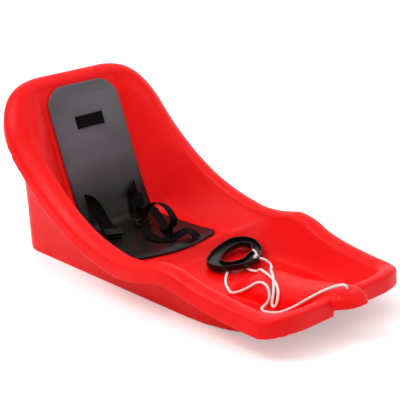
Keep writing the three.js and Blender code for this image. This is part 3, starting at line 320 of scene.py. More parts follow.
RIM_HEIGHTS = [
    (0.004, 0.984), (0.018, 0.946), (0.065, 0.808), (0.132, 0.639), (0.202, 0.503), (0.253, 0.424),
    (0.31, 0.354), (0.373, 0.3), (0.437, 0.265), (0.49, 0.249), (0.535, 0.257), (0.58, 0.281),
    (0.614, 0.3), (0.655, 0.291), (0.703, 0.256), (0.76, 0.231), (0.817, 0.217), (0.9, 0.208), (0.945, 0.228),
]
RIM_TILTS = [
    (0, -0.024), (0.018, 0), (0.065, 0.03), (0.132, 0.047), (0.253, 0.035), (0.373, 0.018),
    (0.48, 0.012), (0.576, 0.003), (0.614, 0), (0.945, 0),
]
RIM_HALVES = [
    (0.114, 0.972), (0.253, 0.986), (0.426, 1), (0.532, 1), (0.614, 0.972), (0.703, 0.929), (0.817, 0.894),
    (0.866, 0.88),
]
RIM_CROWNS = [(0, 1), (0.76, 1), (0.86, 0.6), (0.92, 0.35)]
FLOOR_HEIGHTS = [
    (0.048, 0.954), (0.189, 0.202), (0.2, 0.162), (0.225, 0.142), (0.26, 0.138), (0.373, 0.139),
    (0.424, 0.145), (0.44, 0.139), (0.455, 0.106), (0.467, 0.081), (0.482, 0.073), (0.754, 0.072),
    (0.817, 0.077), (0.86, 0.095),
]
FLOOR_HALVES = [
    (0.061, 0.481), (0.198, 0.481), (0.373, 0.51), (0.449, 0.534), (0.525, 0.559), (0.652, 0.588),
    (0.716, 0.588), (0.779, 0.564), (0.799, 0.554),
]
BASE_HEIGHTS = [
    (0.03, 0), (0.652, 0), (0.747, 0.012), (0.798, 0.029), (0.843, 0.054), (0.874, 0.077), (0.911, 0.116),
]
BASE_HALVES = [(0.088, 0.69), (0.127, 0.695), (0.652, 0.695), (0.747, 0.67), (0.798, 0.645), (0.843, 0.612)]
PROW = [
    (0.642, 0.202, 0.075, 0.051), (0.655, 0.227, 0.101, 0.051), (0.674, 0.242, 0.139, 0.051),
    (0.697, 0.253, 0.172, 0.051), (0.724, 0.255, 0.189, 0.051), (0.779, 0.251, 0.195, 0.051),
    (0.817, 0.244, 0.207, 0.056), (0.855, 0.238, 0.222, 0.086), (0.893, 0.222, 0.241, 0.125),
    (0.931, 0.195, 0.263, 0.158), (0.953, 0.18, 0.273, 0.178), (0.972, 0.155, 0.265, 0.19),
    (0.987, 0.113, 0.245, 0.199), (0.996, 0.07, 0.224, 0.205), (1, 0.03, 0.214, 0.209),
]
WALL_SHAPE = ((0.2, 0.08), (0.5, 0.36), (0.78, 0.7))
WALL_STEP = 0.08
OUTER_WALL_SHAPE = ((0.3, 0.5),)
RIM_TOP = tuple(0.02 + 1.18 * k / 14 for k in range(15))
RIM_LID = (0.45, 0.7, 1)
NOTCH_SHAPE = (
    (0, 0), (0.2, 0.12), (0.4, 0.25), (0.55, 0.36), (0.7, 0.5), (0.8, 0.65), (0.9, 0.85), (0.96, 1.08),
    (1, 1.4),
)


class Profile:
    """Smooth curve through a table of shares that never overshoots its points."""

    def __init__(self, table, scale):
        self.x = np.array([REAR + row[0] * LENGTH for row in table], float)
        self.y = np.array([row[1] * scale for row in table], float)
        slope = np.diff(self.y) / np.diff(self.x)
        before = np.concatenate([slope[:1], slope])
        after = np.concatenate([slope, slope[-1:]])
        same = before * after > 0
        self.t = np.where(same, 2 * before * after / np.where(same, before + after, 1), 0)

    def __call__(self, x):
        x = min(max(x, self.x[0]), self.x[-1])
        i = min(int(np.searchsorted(self.x, x, side="right")), len(self.x) - 1) - 1
        width = self.x[i + 1] - self.x[i]
        t = (x - self.x[i]) / width
        s = 1 - t
        return float(
            self.y[i] * s * s * (1 + 2 * t) + self.y[i + 1] * t * t * (3 - 2 * t)
            + width * t * s * (self.t[i] * s - self.t[i + 1] * t)
        )


rim_height = Profile(RIM_HEIGHTS, HEIGHT)
rim_tilt = Profile(RIM_TILTS, HEIGHT)
rim_crown = Profile(RIM_CROWNS, RIM_CROWN)
rim_half = Profile(RIM_HALVES, HALF)
floor_height = Profile(FLOOR_HEIGHTS, HEIGHT)
floor_half = Profile(FLOOR_HALVES, HALF)
base_height = Profile(BASE_HEIGHTS, HEIGHT)
base_half = Profile(BASE_HALVES, HALF)


def slope_at(curve, x):
    return (curve(x + 1) - curve(x - 1)) / 2


def floor_under(x):
    return floor_height(x) - WALL * math.hypot(1, slope_at(floor_height, x))


def plan_ring(rear, front, corners, half):
    (rear_along, rear_across), (front_along, front_across) = corners
    side_rear, side_front = rear + rear_along, front - front_along
    rear_straight, front_straight = half(side_rear) - rear_across, half(side_front) - front_across
    turns = [k / CORNER_STEPS * math.pi / 2 for k in range(CORNER_STEPS + 1)]
    full = 2 / CORNER_FULLNESS
    bend = [(math.cos(turn) ** full, math.sin(turn) ** full) for turn in turns]
    left = [(side_rear - rear_along * a, rear_straight + rear_across * b) for a, b in bend]
    for k in range(1, SIDE_STEPS):
        x = side_rear + (side_front - side_rear) * k / SIDE_STEPS
        left.append((x, half(x)))
    left += [(side_front + front_along * b, front_straight + front_across * a) for a, b in bend]
    return np.array(left + [(x, -y) for x, y in reversed(left)])


def inset(ring, distance):
    along = unit(np.roll(ring, -1, 0) - np.roll(ring, 1, 0))
    return ring + np.stack([along[:, 1], -along[:, 0]], 1) * distance


LOBES = NOSE - RIM_FRONT
rim_plan = plan_ring(REAR + SKIRT_FLARE, LOBES, RIM_CORNERS, lambda x: rim_half(x) - SKIRT_FLARE)
edge_plan = plan_ring(
    REAR + RIM_WIDTH, LOBES - RIM_FRONT_WIDTH, EDGE_CORNERS, lambda x: rim_half(x) - SKIRT_FLARE - RIM_WIDTH)
floor_plan = plan_ring(REAR + RIM_WIDTH, LOBES - FLOOR_FRONT, FLOOR_CORNERS, floor_half)
base_plan = plan_ring(REAR + BASE_REAR, LOBES - BASE_FRONT, BASE_CORNERS, base_half)


def with_height(ring, height):
    return np.column_stack([ring, [height(x) for x in ring[:, 0]]])


def blend_rings(low, high, across, up):
    return low + (high - low) * np.array([across, across, up])


def frontness(x):
    """Nothing over the seat, growing to one over the front lobes."""
    share = min(max((x - FRONT_START) / FRONT_REACH, 0), 1)
    return share * share * (3 - 2 * share)


def rim_rise(x, distance):
    share = distance / RIM_WIDTH
    crown = rim_crown(x) * 4 * share * (1 - share)
    return rim_tilt(x) * share + crown + FRONT_LIFT * frontness(x) * (1 - share)


def rim_ring(distance, lift):
    plan = rim_plan + (edge_plan - rim_plan) * (distance / RIM_WIDTH)
    rise = [rim_height(x) + rim_rise(x, distance) + lift for x in rim_plan[:, 0]]
    return np.column_stack([plan, rise])


def raised(ring, lift):
    return ring + np.array([0, 0, lift])


def tub_block():
    foot = with_height(floor_plan, floor_height)
    edge = rim_ring(RIM_WIDTH + RIM_ROUND / 3, -RIM_ROUND)
    brow = rim_ring(RIM_WIDTH - RIM_ROUND / 3, -RIM_ROUND / 8)
    lip = rim_ring(RIM_WIDTH - RIM_ROUND, RIM_ROUND / 4)
    walls = wall_rings(foot, edge, WALL_SHAPE)
    return loft_rings("tub", [foot, *walls, edge, brow, lip, raised(lip, OVERRUN)])


def wall_rings(foot, edge, shape):
    """Rings between two rings, on a smooth curve through the shares of a wall's shape."""
    table = np.array([(0, 0), *shape, (1, 1)], float)
    path = curve_points([(a, b, 0) for a, b in table], WALL_STEP)
    return [blend_rings(foot, edge, a, b) for a, b, _ in path[1:-1]]


def tub_skin():
    foot = with_height(inset(floor_plan, -WALL), floor_under)
    edge = rim_ring(RIM_WIDTH + RIM_ROUND / 3, -RIM_ROUND)
    shoulder = rim_ring(RIM_WIDTH + RIM_ROUND / 3 - WALL * SKIN_SHARES[0], 0)
    shoulder[:, 2] = edge[:, 2] - WALL * SKIN_SHARES[1]
    lip = rim_ring(RIM_WIDTH - RIM_ROUND, -WALL / 2)
    return loft_rings("skin", [foot, *wall_rings(foot, shoulder, WALL_SHAPE), shoulder, lip])


def outer_rings(step, drop):
    base = with_height(inset(base_plan, step * FOOT_BEAD), base_height)
    top = rim_ring(SKIRT_GAP + step, -WALL / 2 - drop)
    walls = wall_rings(base, top, OUTER_WALL_SHAPE)
    lid = [rim_ring(share * RIM_WIDTH, -WALL / 2 - drop) for share in RIM_LID]
    return [*([raised(base, -OVERRUN)] if drop else []), base, *walls, top, *lid]


def rim_block():
    sections = []
    for (x, y), (ex, ey) in zip(rim_plan, edge_plan):
        top = [(share * RIM_WIDTH, rim_rise(x, share * RIM_WIDTH)) for share in RIM_TOP]
        under = [(distance + WALL / 4, rise - WALL) for distance, rise in reversed(top[2:])]
        skirt = SKIRT_HEIGHT + FRONT_DROP * frontness(x)
        outline = [
            (SKIRT_BEAD - SKIRT_FLARE, -skirt), (-SKIRT_FLARE, -skirt),
            (-SKIRT_FLARE / 3, FRONT_LIFT * frontness(x) - RIM_ROUND), *top, *under,
        ]
        sections.append(np.array([
            (x + (ex - x) * d / RIM_WIDTH, y + (ey - y) * d / RIM_WIDTH, rim_height(x) + rise)
            for d, rise in outline]))
    return loft_sections("rim", sections, closed=True)


prow_half = Profile([(row[0], row[1]) for row in PROW], HALF)
prow_crest = Profile([(row[0], row[2]) for row in PROW], HEIGHT)
prow_floor = Profile([(row[0], row[3]) for row in PROW], HEIGHT)


def prow_block(step, drop):
    first, last = REAR + PROW[0][0] * LENGTH + step, NOSE - step
    sections = []
    for k in range(PROW_STEPS + 1):
        share = k / PROW_STEPS
        eased = share if share < 0.5 else 0.5 + 0.5 * math.sin((share - 0.5) * math.pi)
        x = first + (last - first) * eased
        w, low, high = prow_half(x) - step, prow_floor(x) - drop, prow_crest(x) - step
        section = []
        for a in range(PROW_ARC + 1):
            angle = a / PROW_ARC * math.pi
            side = math.cos(angle)
            across = math.copysign(abs(side) ** PROW_SQUARENESS, side)
            section.append((x, w * across, low + (high - low) * max(math.sin(angle), 0) ** PROW_SQUARENESS))
        sections.append(np.array(section))
    return loft_sections("prow", sections)


def notch(side, wall):
    """The gap beside the nose: the lobe's end slopes towards the nose as it goes down."""
    outside = [
        (LOBES - NOTCH_DEPTH * (1 - a) - (wall if a < 1 else 0), NOTCH_APEX + NOTCH_WIDTH * b + wall)
        for a, b in NOTCH_SHAPE]
    outline = [*outside, (LOBES + OVERRUN, outside[-1][1])]
    top = rim_height(LOBES)
    levels = []
    for z, shift in ((-OVERRUN, NOTCH_SLOPE), (top - SKIRT_HEIGHT, NOTCH_SLOPE), (top, 0), (HEIGHT, 0)):
        ring = [(x, side * (y - shift), z) for x, y in outline]
        ring += [(LOBES + OVERRUN, side * NOTCH_INSIDE, z), (outside[0][0], side * NOTCH_INSIDE, z)]
        levels.append(np.array(ring))
    return loft_sections("notch", levels)


def keel(side):
    first, last = REAR + KEEL_SHARES[0] * LENGTH, REAR + KEEL_SHARES[1] * LENGTH
    middle, half = side * KEEL_SPACING / 2, KEEL_WIDTH / 2
    sections = []
    for k in range(KEEL_STEPS + 1):
        x = first + (last - first) * k / KEEL_STEPS
        top, low = floor_under(x) + WALL / 2, base_height(x)
        left, right = middle - half, middle + half
        sections.append(np.array([(x, left, low), (x, right, low), (x, right, top), (x, left, top)]))
    return loft_sections("keel", sections)


def block_of(name, work):
    """A piece from a shape that is drawn in millimetres."""
    mesh = bpy.data.meshes.new(name)
    work.to_mesh(mesh)
    work.free()
    mesh.transform(Matrix.Scale(MM, 4))
    return put(name, mesh)


def box_block(name, size, matrix):
    work = bmesh.new()
    bmesh.ops.create_cube(work, size=1.0, matrix=matrix @ Matrix.Diagonal((*size, 1.0)))
    return block_of(name, work)


def drum_block(name, radius, depth, matrix, sides=48):
    work = bmesh.new()
    bmesh.ops.create_cone(
        work, cap_ends=True, segments=sides, radius1=radius, radius2=radius, depth=depth, matrix=matrix)
    return block_of(name, work)


def back_at(z):
    """Where along the sled the back is at a height."""
    low, high = REAR, REAR + BACK_SHARE * LENGTH
    for _ in range(BACK_HALVINGS):
        middle = (low + high) / 2
        if floor_height(middle) > z:
            low = middle
        else:
            high = middle
    return low


def down_back(z):
    """Which way the back runs down at a height."""
    slope = slope_at(floor_height, back_at(z))
    return np.array([1, 0, slope]) / math.hypot(1, slope)


def back_point(z, out, y):
    down = down_back(z)
    return np.array([back_at(z) - down[2] * out, y, z + down[0] * out])


WEBBING_WIDTH, WEBBING_THICKNESS, SLOT_CLEARANCE, SLOT_REACH = 25.0, 1.8, 1.05, 44.0
UPPER_SLOT, UPPER_SPACING, LOWER_SLOT, LOWER_SPACING = 244.0, 66.0, 102.0, 126.0


def slot_blocks():
    blocks = []
    for z, spacing in ((UPPER_SLOT, UPPER_SPACING), (LOWER_SLOT, LOWER_SPACING)):
        tilt = math.atan(1 / slope_at(floor_height, back_at(z)))
        for side in (1, -1):
            place = Matrix.Translation(back_point(z, 0, side * spacing / 2)) @ Matrix.Rotation(tilt, 4, "Y")
            size = (SLOT_REACH, WEBBING_THICKNESS + 2 * SLOT_CLEARANCE, WEBBING_WIDTH + 2 * SLOT_CLEARANCE)
            blocks.append(box_block("slot", size, place))
    return blocks


def relax(piece, weight, steps):
    """Rounds a mesh by moving each vertex towards its neighbours, as far as its weight says."""
    mesh = piece.data
    count = len(mesh.vertices)
    co = np.empty(count * 3)
    mesh.vertices.foreach_get("co", co)
    co = co.reshape(-1, 3)
    edges = np.empty(len(mesh.edges) * 2, int)
    mesh.edges.foreach_get("vertices", edges)
    edges = edges.reshape(-1, 2)
    degree = np.bincount(edges.ravel(), minlength=count)[:, None]
    w = weight(co)[:, None] / 2
    for _ in range(steps):
        total = np.zeros_like(co)
        for k in range(3):
            total[:, k] = (
                np.bincount(edges[:, 0], co[edges[:, 1], k], minlength=count)
                + np.bincount(edges[:, 1], co[edges[:, 0], k], minlength=count))
        co += (total / np.maximum(degree, 1) - co) * w
    mesh.vertices.foreach_set("co", co.ravel())
    mesh.update()


def nose_top(x, y):
    """Height of the nose's outer face over a point in plan."""
    across = min(abs(y) / prow_half(x), 0.999) ** (1 / PROW_SQUARENESS)
    rise = (1 - across * across) ** (PROW_SQUARENESS / 2)
    return prow_floor(x) + (prow_crest(x) - prow_floor(x)) * rise


def flute_cutters():
    """Thin round-bottomed grooves that fan out from the hole and fade before the nose's lower edge."""
    hole = NOSE - HOLE_SETBACK
    cutters = []
    for k in range(FLUTES):
        turn = math.radians(FLUTE_SPREAD * (k / (FLUTES - 1) - 0.5))
        ahead, aside = math.cos(turn), math.sin(turn)
        last = FLUTE_START
        while last < HOLE_SETBACK - FLUTE_END and (
                last * abs(aside) < FLUTE_SIDE_SHARE * prow_half(hole + last * ahead)):
            last += FLUTE_SEARCH
        path, radii = [], []
        for s in range(FLUTE_STEPS + 1):
            share = s / FLUTE_STEPS
            reach = FLUTE_START + (last - FLUTE_START) * share
            x, y = min(hole + reach * ahead, NOSE - FLUTE_TIP), reach * aside
            lift = FLUTE_RADIUS - FLUTE_DEPTH * math.sin(math.pi * share) ** 0.5
            path.append((x, y, nose_top(x, y) + lift))
            radii.append(FLUTE_RADIUS * max(math.sin(math.pi * share), 0.02) ** FLUTE_TAPER)
        path = np.array(path)
        rings = [ring_about(*row, FLUTE_SIDES) for row in zip(path, *tube_frames(path), radii)]
        cutters.append(loft_sections("flute", rings))
    return cutters


def make_shell():
    notches = [notch(1, 0), notch(-1, 0)]
    hollow = prow_block(WALL, OVERRUN)
    prow = prow_block(0, 0)
    cavity = cut(loft_rings("cavity", outer_rings(WALL, WALL)), notch(1, WALL), notch(-1, WALL))
    outer = cut(loft_rings("outer", outer_rings(0, 0)), *[copy_of(side) for side in notches])
    lining = cut(join(tub_skin(), rim_block()), *notches, copy_of(hollow))
    tub = cut(tub_block(), copy_of(prow))
    shell = join(cut(outer, cavity), lining, cut(prow, hollow))
    join(cut(shell, tub), keel(1), keel(-1))
    shell.name = "moulded_shell"
    grid = shell.modifiers.new("grid", "REMESH")
    grid.mode = "VOXEL"
    grid.voxel_size = VOXEL * MM
    grid.use_smooth_shade = True
    settle(shell)
    relax(shell, lambda co: np.ones(len(co)), SOFT_PASSES)
    relax(shell, ridge_foot, FOOT_PASSES)
    hole = Matrix.Translation((NOSE - HOLE_SETBACK, 0, HEIGHT / 2))
    cut(shell, drum_block("drill", HOLE_DIAMETER / 2, HEIGHT, hole), *slot_blocks(), *flute_cutters())
    smooth_by_angle(shell, 50)
    return shell


def ridge_foot(co):
    """How near each vertex is to the line where the ridge rises from the footwells."""
    x, y, z = co[:, 0] / MM, np.abs(co[:, 1]) / MM, co[:, 2] / MM
    stations = np.linspace(REAR, NOSE, STATIONS)
    edge = np.interp(x, stations, [prow_half(v) for v in stations])
    start = REAR + PROW[0][0] * LENGTH - FOOT_START
    near = np.exp(-((y - edge) / FOOT_SPREAD) ** 2) * np.clip((x - start) / FOOT_START, 0, 1)
    low = np.clip((FOOT_TOP - z) / FOOT_FADE, 0, 1)
    return near * low * np.clip((FOOT_END - x) / FOOT_FADE, 0, 1)


shell = make_shell()


# Foam mat
MAT_THICKNESS, MAT_WIDTH, MAT_GAP = 5.0, 176.0, 0.4
MAT_TOP, MAT_TOP_ROUND, MAT_FRONT_ROUND = 316.0, 46.0, 12.0
MAT_FLARE, MAT_NEAR_FLARE, MAT_FLARE_SHARE, MAT_BOW = 12.0, 20.0, 0.55, 13.0
MAT_FRONT_SHARE = 0.4435
MAT_SAMPLES, MAT_FRONT_SAMPLES, MAT_EASING = 600, 60, 13
MAT_STEP, MAT_END, MAT_ACROSS, MAT_TAPER, MAT_THIN = 4.0, 27.0, 22, 2.5, 0.35
MAT_EDGE = ((1, 0.0), (1.012, 0.2), (1.014, 0.5), (1.006, 0.78), (0.99, 0.94), (0.968, 1.0))


def seat_line():
    first, last = back_at(MAT_TOP), REAR + MAT_FRONT_SHARE * LENGTH
    xs = np.linspace(first, last, MAT_SAMPLES)
    zs = np.array([floor_height(x) for x in xs])
    run = running(np.column_stack([xs, zs]))
    total = run[-1]
    count = int((total - 2 * MAT_END) / MAT_STEP)
    eased = 1 - np.cos(np.linspace(0, math.pi / 2, MAT_EASING))[:-1]
    middle = np.linspace(MAT_END, total - MAT_END, count + 1)
    even = np.concatenate([eased * MAT_END, middle, total - eased[::-1] * MAT_END])
    x, z = np.interp(even, run, xs), np.interp(even, run, zs)
    slope = np.arctan2(np.gradient(z), np.gradient(x))
    return even, x, z, slope


def mat_front():
    """Distances back from the mat's front edge, and the share of its half width that it has there."""
    shares = np.linspace(0, 1, MAT_FRONT_SAMPLES)
    across = shares * MAT_WIDTH / 2
    corner = np.clip(across - (MAT_WIDTH / 2 - MAT_FRONT_ROUND), 0, MAT_FRONT_ROUND)
    back = MAT_BOW * shares ** 2 + MAT_FRONT_ROUND - np.sqrt(MAT_FRONT_ROUND ** 2 - corner ** 2)
    return back, shares


def make_mat():
    run, xs, zs, slope = seat_line()
    total, half = run[-1], MAT_WIDTH / 2
    sections = []
    for t, x, z, a in zip(run, xs, zs, slope):
        top = 1 - (1 - min(t / MAT_TOP_ROUND, 1)) ** 2
        flare = max(0, (t / total - MAT_FLARE_SHARE) / (1 - MAT_FLARE_SHARE))
        top_cut = MAT_TOP_ROUND * (1 - max(top, 0) ** 0.5)
        front_share = max(np.interp(total - t, *mat_front()), 0.01)
        far_half = (half + MAT_FLARE * flare) * front_share - top_cut
        near_half = (half + MAT_NEAR_FLARE * flare) * front_share - top_cut
        width = far_half + near_half
        out = np.array([-math.sin(a), 0, math.cos(a)])
        taper = min(min(t, total - t) / MAT_TAPER, 1)
        thick = MAT_THICKNESS * (MAT_THIN + (1 - MAT_THIN) * (1 - (1 - taper) ** 2) ** 0.5)
        spread = [k / MAT_ACROSS for k in range(1, MAT_ACROSS)]
        outline = [(far_half * w, thick * h) for w, h in MAT_EDGE]
        outline += [(MAT_EDGE[-1][0] * (far_half - width * k), thick) for k in spread]
        outline += [(-near_half * w, thick * h) for w, h in reversed(MAT_EDGE)]
        outline += [(width * k - near_half, 0) for k in spread]
        sections.append(np.array([(x, w, z) + out * (MAT_GAP + h) for w, h in outline]))
    mat = cut(loft_sections("foam_mat", sections), *slot_blocks())
    smooth_by_angle(mat, 42)
    return mat


# Belt
WEBBING_GAP, HIDDEN_DEPTH = 0.4, 26.0
SOCKET_STRAIGHT, PLUG_STRAIGHT, SEWN = 17.0, 20.0, 18.0
RIBBON_STEPS, RIBBON_ACROSS, RIBBON_EDGE, RIBBON_THIN = 14, 10, 0.975, 0.35
HIDDEN = [
    (0, 0, 0), (0, 0.26, 0), (0.005, 0.5, 0.06), (0.015, 0.78, 0.4), (0.05, 1.05, 0.85), (0.14, 1.3, 1),
    (0.3, 1.3, 1), (0.5, 1.3, 1),
]
HIDDEN += [(1 - share, out, turn) for share, out, turn in HIDDEN[-2::-1]]
NEAR_LAP = [
    (0, 0, 0), (0.14, 0.02, 0), (0.28, 0.12, 0.02), (0.42, 0.28, 0.08), (0.56, 0.48, 0.2), (0.7, 0.7, 0.45),
    (0.85, 0.9, 0.82),
]
LAP = [
    (0, 0, 0), (0.16, 0.01, 0), (0.29, 0.1, 0.06), (0.4, 0.28, 0.3), (0.52, 0.54, 0.64), (0.68, 0.8, 0.9),
    (0.85, 0.95, 1),
]
TAIL = [
    (-0.44, 0.3, 0.26, 0.5, 0.86, 0),
    (-0.56, 0.4, 0.52, 0.41, 0.91, 0),
    (-0.4, 0.52, 0.8, 0.25, 0.97, 0),
    (0, 0.64, 0.88, 0.1, 1, 0),
    (0.48, 0.76, 0.72, -0.1, 1, 0),
    (0.92, 0.88, 0.3, -0.2, 0.97, -0.1),
    (1.44, 0.88, -0.08, -0.3, 0.95, -0.06),
    (2.04, 0.72, -0.23, -0.25, 0.96, -0.04),
    (2.62, 0.28, -0.2, -0.25, 0.95, -0.06),
    (3.38, 0.08, 0.26, -0.28, 0.93, -0.25),
    (3.74, -0.1, 1.1, -0.3, 0.91, -0.3),
    (3.3, -0.34, 1.95, -0.3, 0.9, -0.3),
    (2.58, -0.58, 2.22, -0.3, 0.9, -0.3),
    (1.86, -0.82, 1.88, -0.3, 0.9, -0.3),
    (1.5, -1.1, 1.02, -0.3, 0.9, -0.3),
    (1.86, -1.34, 0.22, -0.3, 0.94, -0.15),
    (2.6, -1.52, -0.23, -0.1, 0.99, -0.03),
    (3.4, -1.6, -0.25, 0.15, 0.99, 0),
    (4.05, -1.4, -0.24, -0.51, 0.86, 0),
    (4.42, -0.8, -0.16, -0.91, 0.41, 0),
    (4.62, -0.18, 0.1, -0.95, 0.3, 0),
    (4.9, 0.3, 0.32, -0.86, 0.51, 0),
    (5.38, 0.54, 0.16, -0.41, 0.91, 0),
    (5.7, 0.58, -0.17, -0.2, 0.98, 0),
]
BUCKLE_THICKNESS, BAR_DIAMETER, BAR_TURN = 8.6, 3.4, 4
SOCKET_HEADING, PLUG_HEADING = (0.88, -0.475), (0.848, -0.53)
SOCKET_BAR, PLUG_BAR = (0.2535, -0.65), (0.2555, 0.273)
MAT_FACE = MAT_GAP + MAT_THICKNESS
LAYER = WEBBING_THICKNESS / 2 + WEBBING_GAP
WRAP = BAR_DIAMETER / 2 + LAYER


def bar_place(shares, straight):
    x = REAR + shares[0] * LENGTH
    lift = max(BUCKLE_THICKNESS / 2 + 3 * WEBBING_GAP, WRAP + LAYER)
    under = floor_height(x - straight - WEBBING_WIDTH / 2)
    return np.array([x, shares[1] * MAT_WIDTH / 2, under + MAT_FACE + lift])


socket_bar, plug_bar = bar_place(SOCKET_BAR, SOCKET_STRAIGHT), bar_place(PLUG_BAR, PLUG_STRAIGHT)


def hidden_run(side):
    down, sideways = down_back(UPPER_SLOT), np.array([0, side, 0.0])
    y0, y1 = side * UPPER_SPACING / 2, side * LOWER_SPACING / 2
    run = []
    for share, out, turn in HIDDEN:
        z = UPPER_SLOT - (UPPER_SLOT - LOWER_SLOT) * share
        place = back_point(z, MAT_FACE + LAYER - out * HIDDEN_DEPTH, y0 + (y1 - y0) * share)
        run.append((place, down * (1 - turn) + sideways * turn))
    return run


def bar_turn(bar, heading, across, back):
    ahead, up = np.array([*heading, 0.0]), np.array([0, 0, 1.0])
    stations = [(bar - ahead * back - up * WRAP, across), (bar - ahead * back / 2 - up * WRAP, across)]
    for k in range(BAR_TURN + 1):
        angle = (k / BAR_TURN - 0.5) * math.pi
        stations.append((bar + ahead * WRAP * math.cos(angle) + up * WRAP * math.sin(angle), across))
    return stations + [(bar - ahead * back / 3 + up * WRAP, across)]


def lap(side, bar, heading, across, straight):
    """The strap's free run from its lower slot to where it lands before its bar."""
    out = back_point(LOWER_SLOT, MAT_FACE + LAYER, side * LOWER_SPACING / 2)
    landing = bar - np.array([heading[0] * straight, heading[1] * straight, WRAP])
    down = down_back(LOWER_SLOT)
    stations = []
    for forward, fall, turn in NEAR_LAP if side < 0 else LAP:
        place = out + (landing - out) * np.array([forward, forward, fall])
        stations.append((place, down * (1 - turn) + across * turn))
    return stations


def belt_stations():
    near = np.array([SOCKET_HEADING[1], -SOCKET_HEADING[0], 0.0])
    far = np.array([-PLUG_HEADING[1], PLUG_HEADING[0], 0.0])
    sewn = socket_bar - np.array([*SOCKET_HEADING, 0]) * SEWN + np.array([0, 0, 2 * LAYER - WRAP])
    tail = [(plug_bar + np.array(row[:3]) * WEBBING_WIDTH, np.array(row[3:], float)) for row in TAIL]
    far_run = hidden_run(1)
    return [
        (sewn, near),
        *bar_turn(socket_bar, SOCKET_HEADING, near, SOCKET_STRAIGHT)[::-1],
        *lap(-1, socket_bar, SOCKET_HEADING, near, SOCKET_STRAIGHT)[::-1],
        *hidden_run(-1)[::-1][1:],
        (back_point(UPPER_SLOT, MAT_FACE + LAYER, 0), far_run[0][1]),
        *far_run[:-1],
        *lap(1, plug_bar, PLUG_HEADING, far, PLUG_STRAIGHT),
        *bar_turn(plug_bar, PLUG_HEADING, far, PLUG_STRAIGHT),
        *tail,
    ]


def make_belt():
    stations = belt_stations()
    places = catmull([place for place, _ in stations], RIBBON_STEPS)
    turns = catmull([across for _, across in stations], RIBBON_STEPS)
    along = unit(np.gradient(places, axis=0))
    across = unit(turns - along * (turns * along).sum(1)[:, None])
    out = np.cross(along, across)
    half, thick = WEBBING_WIDTH / 2, WEBBING_THICKNESS / 2
    outline = [(half * (1 - 2 * k / RIBBON_ACROSS), thick) for k in range(RIBBON_ACROSS + 1)]
    outline = [(w * RIBBON_EDGE if abs(w) > half * 0.99 else w, t) for w, t in outline]
    edge = RIBBON_THIN * thick
    loop = [(half, edge), *outline, (-half, edge), (-half, -edge)]
    loop += [(w, -t) for w, t in reversed(outline)] + [(half, -edge)]
    widths, lifts = zip(*loop)
    sections = [c + np.outer(widths, a) + np.outer(lifts, o) for c, a, o in zip(places, across, out)]
    belt = loft_sections("belt_webbing", sections)
    add_strap_map(belt, sections, loop, places)
    return belt


def add_strap_map(belt, sections, loop, places):
    """Writes where each point lies on the flat strap, in metres, for the weave."""
    points = np.vstack(sections) * MM
    flat = np.array([(w, t) for t in running(places) for w, _ in loop]) * MM
    tree = KDTree(len(points))
    for i, point in enumerate(points):
        tree.insert(point, i)
    tree.balance()
    layer = belt.data.attributes.new("strap", "FLOAT_VECTOR", "POINT")
    values = []
    for vertex in belt.data.vertices:
        _, i, _ = tree.find(vertex.co)
        values += [flat[i][0], flat[i][1], 0.0]
    layer.data.foreach_set("vector", values)


# Buckle from the frame's solids, with their edges rounded
FLAT_DEGREES, BEVEL_DEGREES = 2, 28


def soft_edged(name, node, width):
    piece = put(name, nodes[node].data.copy())
    piece.data.materials.clear()
    work = bmesh.new()
    work.from_mesh(piece.data)
    bmesh.ops.remove_doubles(work, verts=work.verts, dist=WELD_SOLID)
    bmesh.ops.dissolve_limit(work, angle_limit=math.radians(FLAT_DEGREES), verts=work.verts, edges=work.edges)
    work.to_mesh(piece.data)
    work.free()
    bevel = piece.modifiers.new("bevel", "BEVEL")
    bevel.width = width * MM
    bevel.segments = 2
    bevel.limit_method = "ANGLE"
    bevel.angle_limit = math.radians(BEVEL_DEGREES)
    bevel.use_clamp_overlap = True
    settle(piece)
    smooth_by_angle(piece, 40)
    return piece


HANDLE_LENGTH, HANDLE_DEPTH, HANDLE_HEIGHT, HANDLE_BAND, HANDLE_ROUND = 142.0, 91.0, 12.0, 17.0, 33.0
HANDLE_BULGE, HANDLE_SIDE_STEPS, HANDLE_GRIP_EXTRA, HANDLE_POINTS, HANDLE_SOFT = 4.5, 24, 8.0, 180, 8
HANDLE_TIP_SHARE, HANDLE_EDGE, HANDLE_FILLET = 1.2, 0.9, 1.6
HANDLE_WALL, HANDLE_HOLE, HANDLE_STEPS, POST_DIAMETER, POST_SHARE = 2.2, 8.4, 20, 6.0, 0.4
HANDLE_TURN, HANDLE_RISE, HANDLE_LIFT = 18.0, 3.5, 10.0
HANDLE_SHARES = (0.494, 0.238)
KNOT_DIAMETER = 9.6


def handle_matrix():
    x = REAR + HANDLE_SHARES[0] * LENGTH
    place = Matrix.Translation((x, HANDLE_SHARES[1] * HALF, floor_height(x) + HANDLE_LIFT))
    turn = Matrix.Rotation(math.radians(HANDLE_TURN), 4, "Z")
    return place @ turn @ Matrix.Rotation(math.radians(HANDLE_RISE), 4, "X")


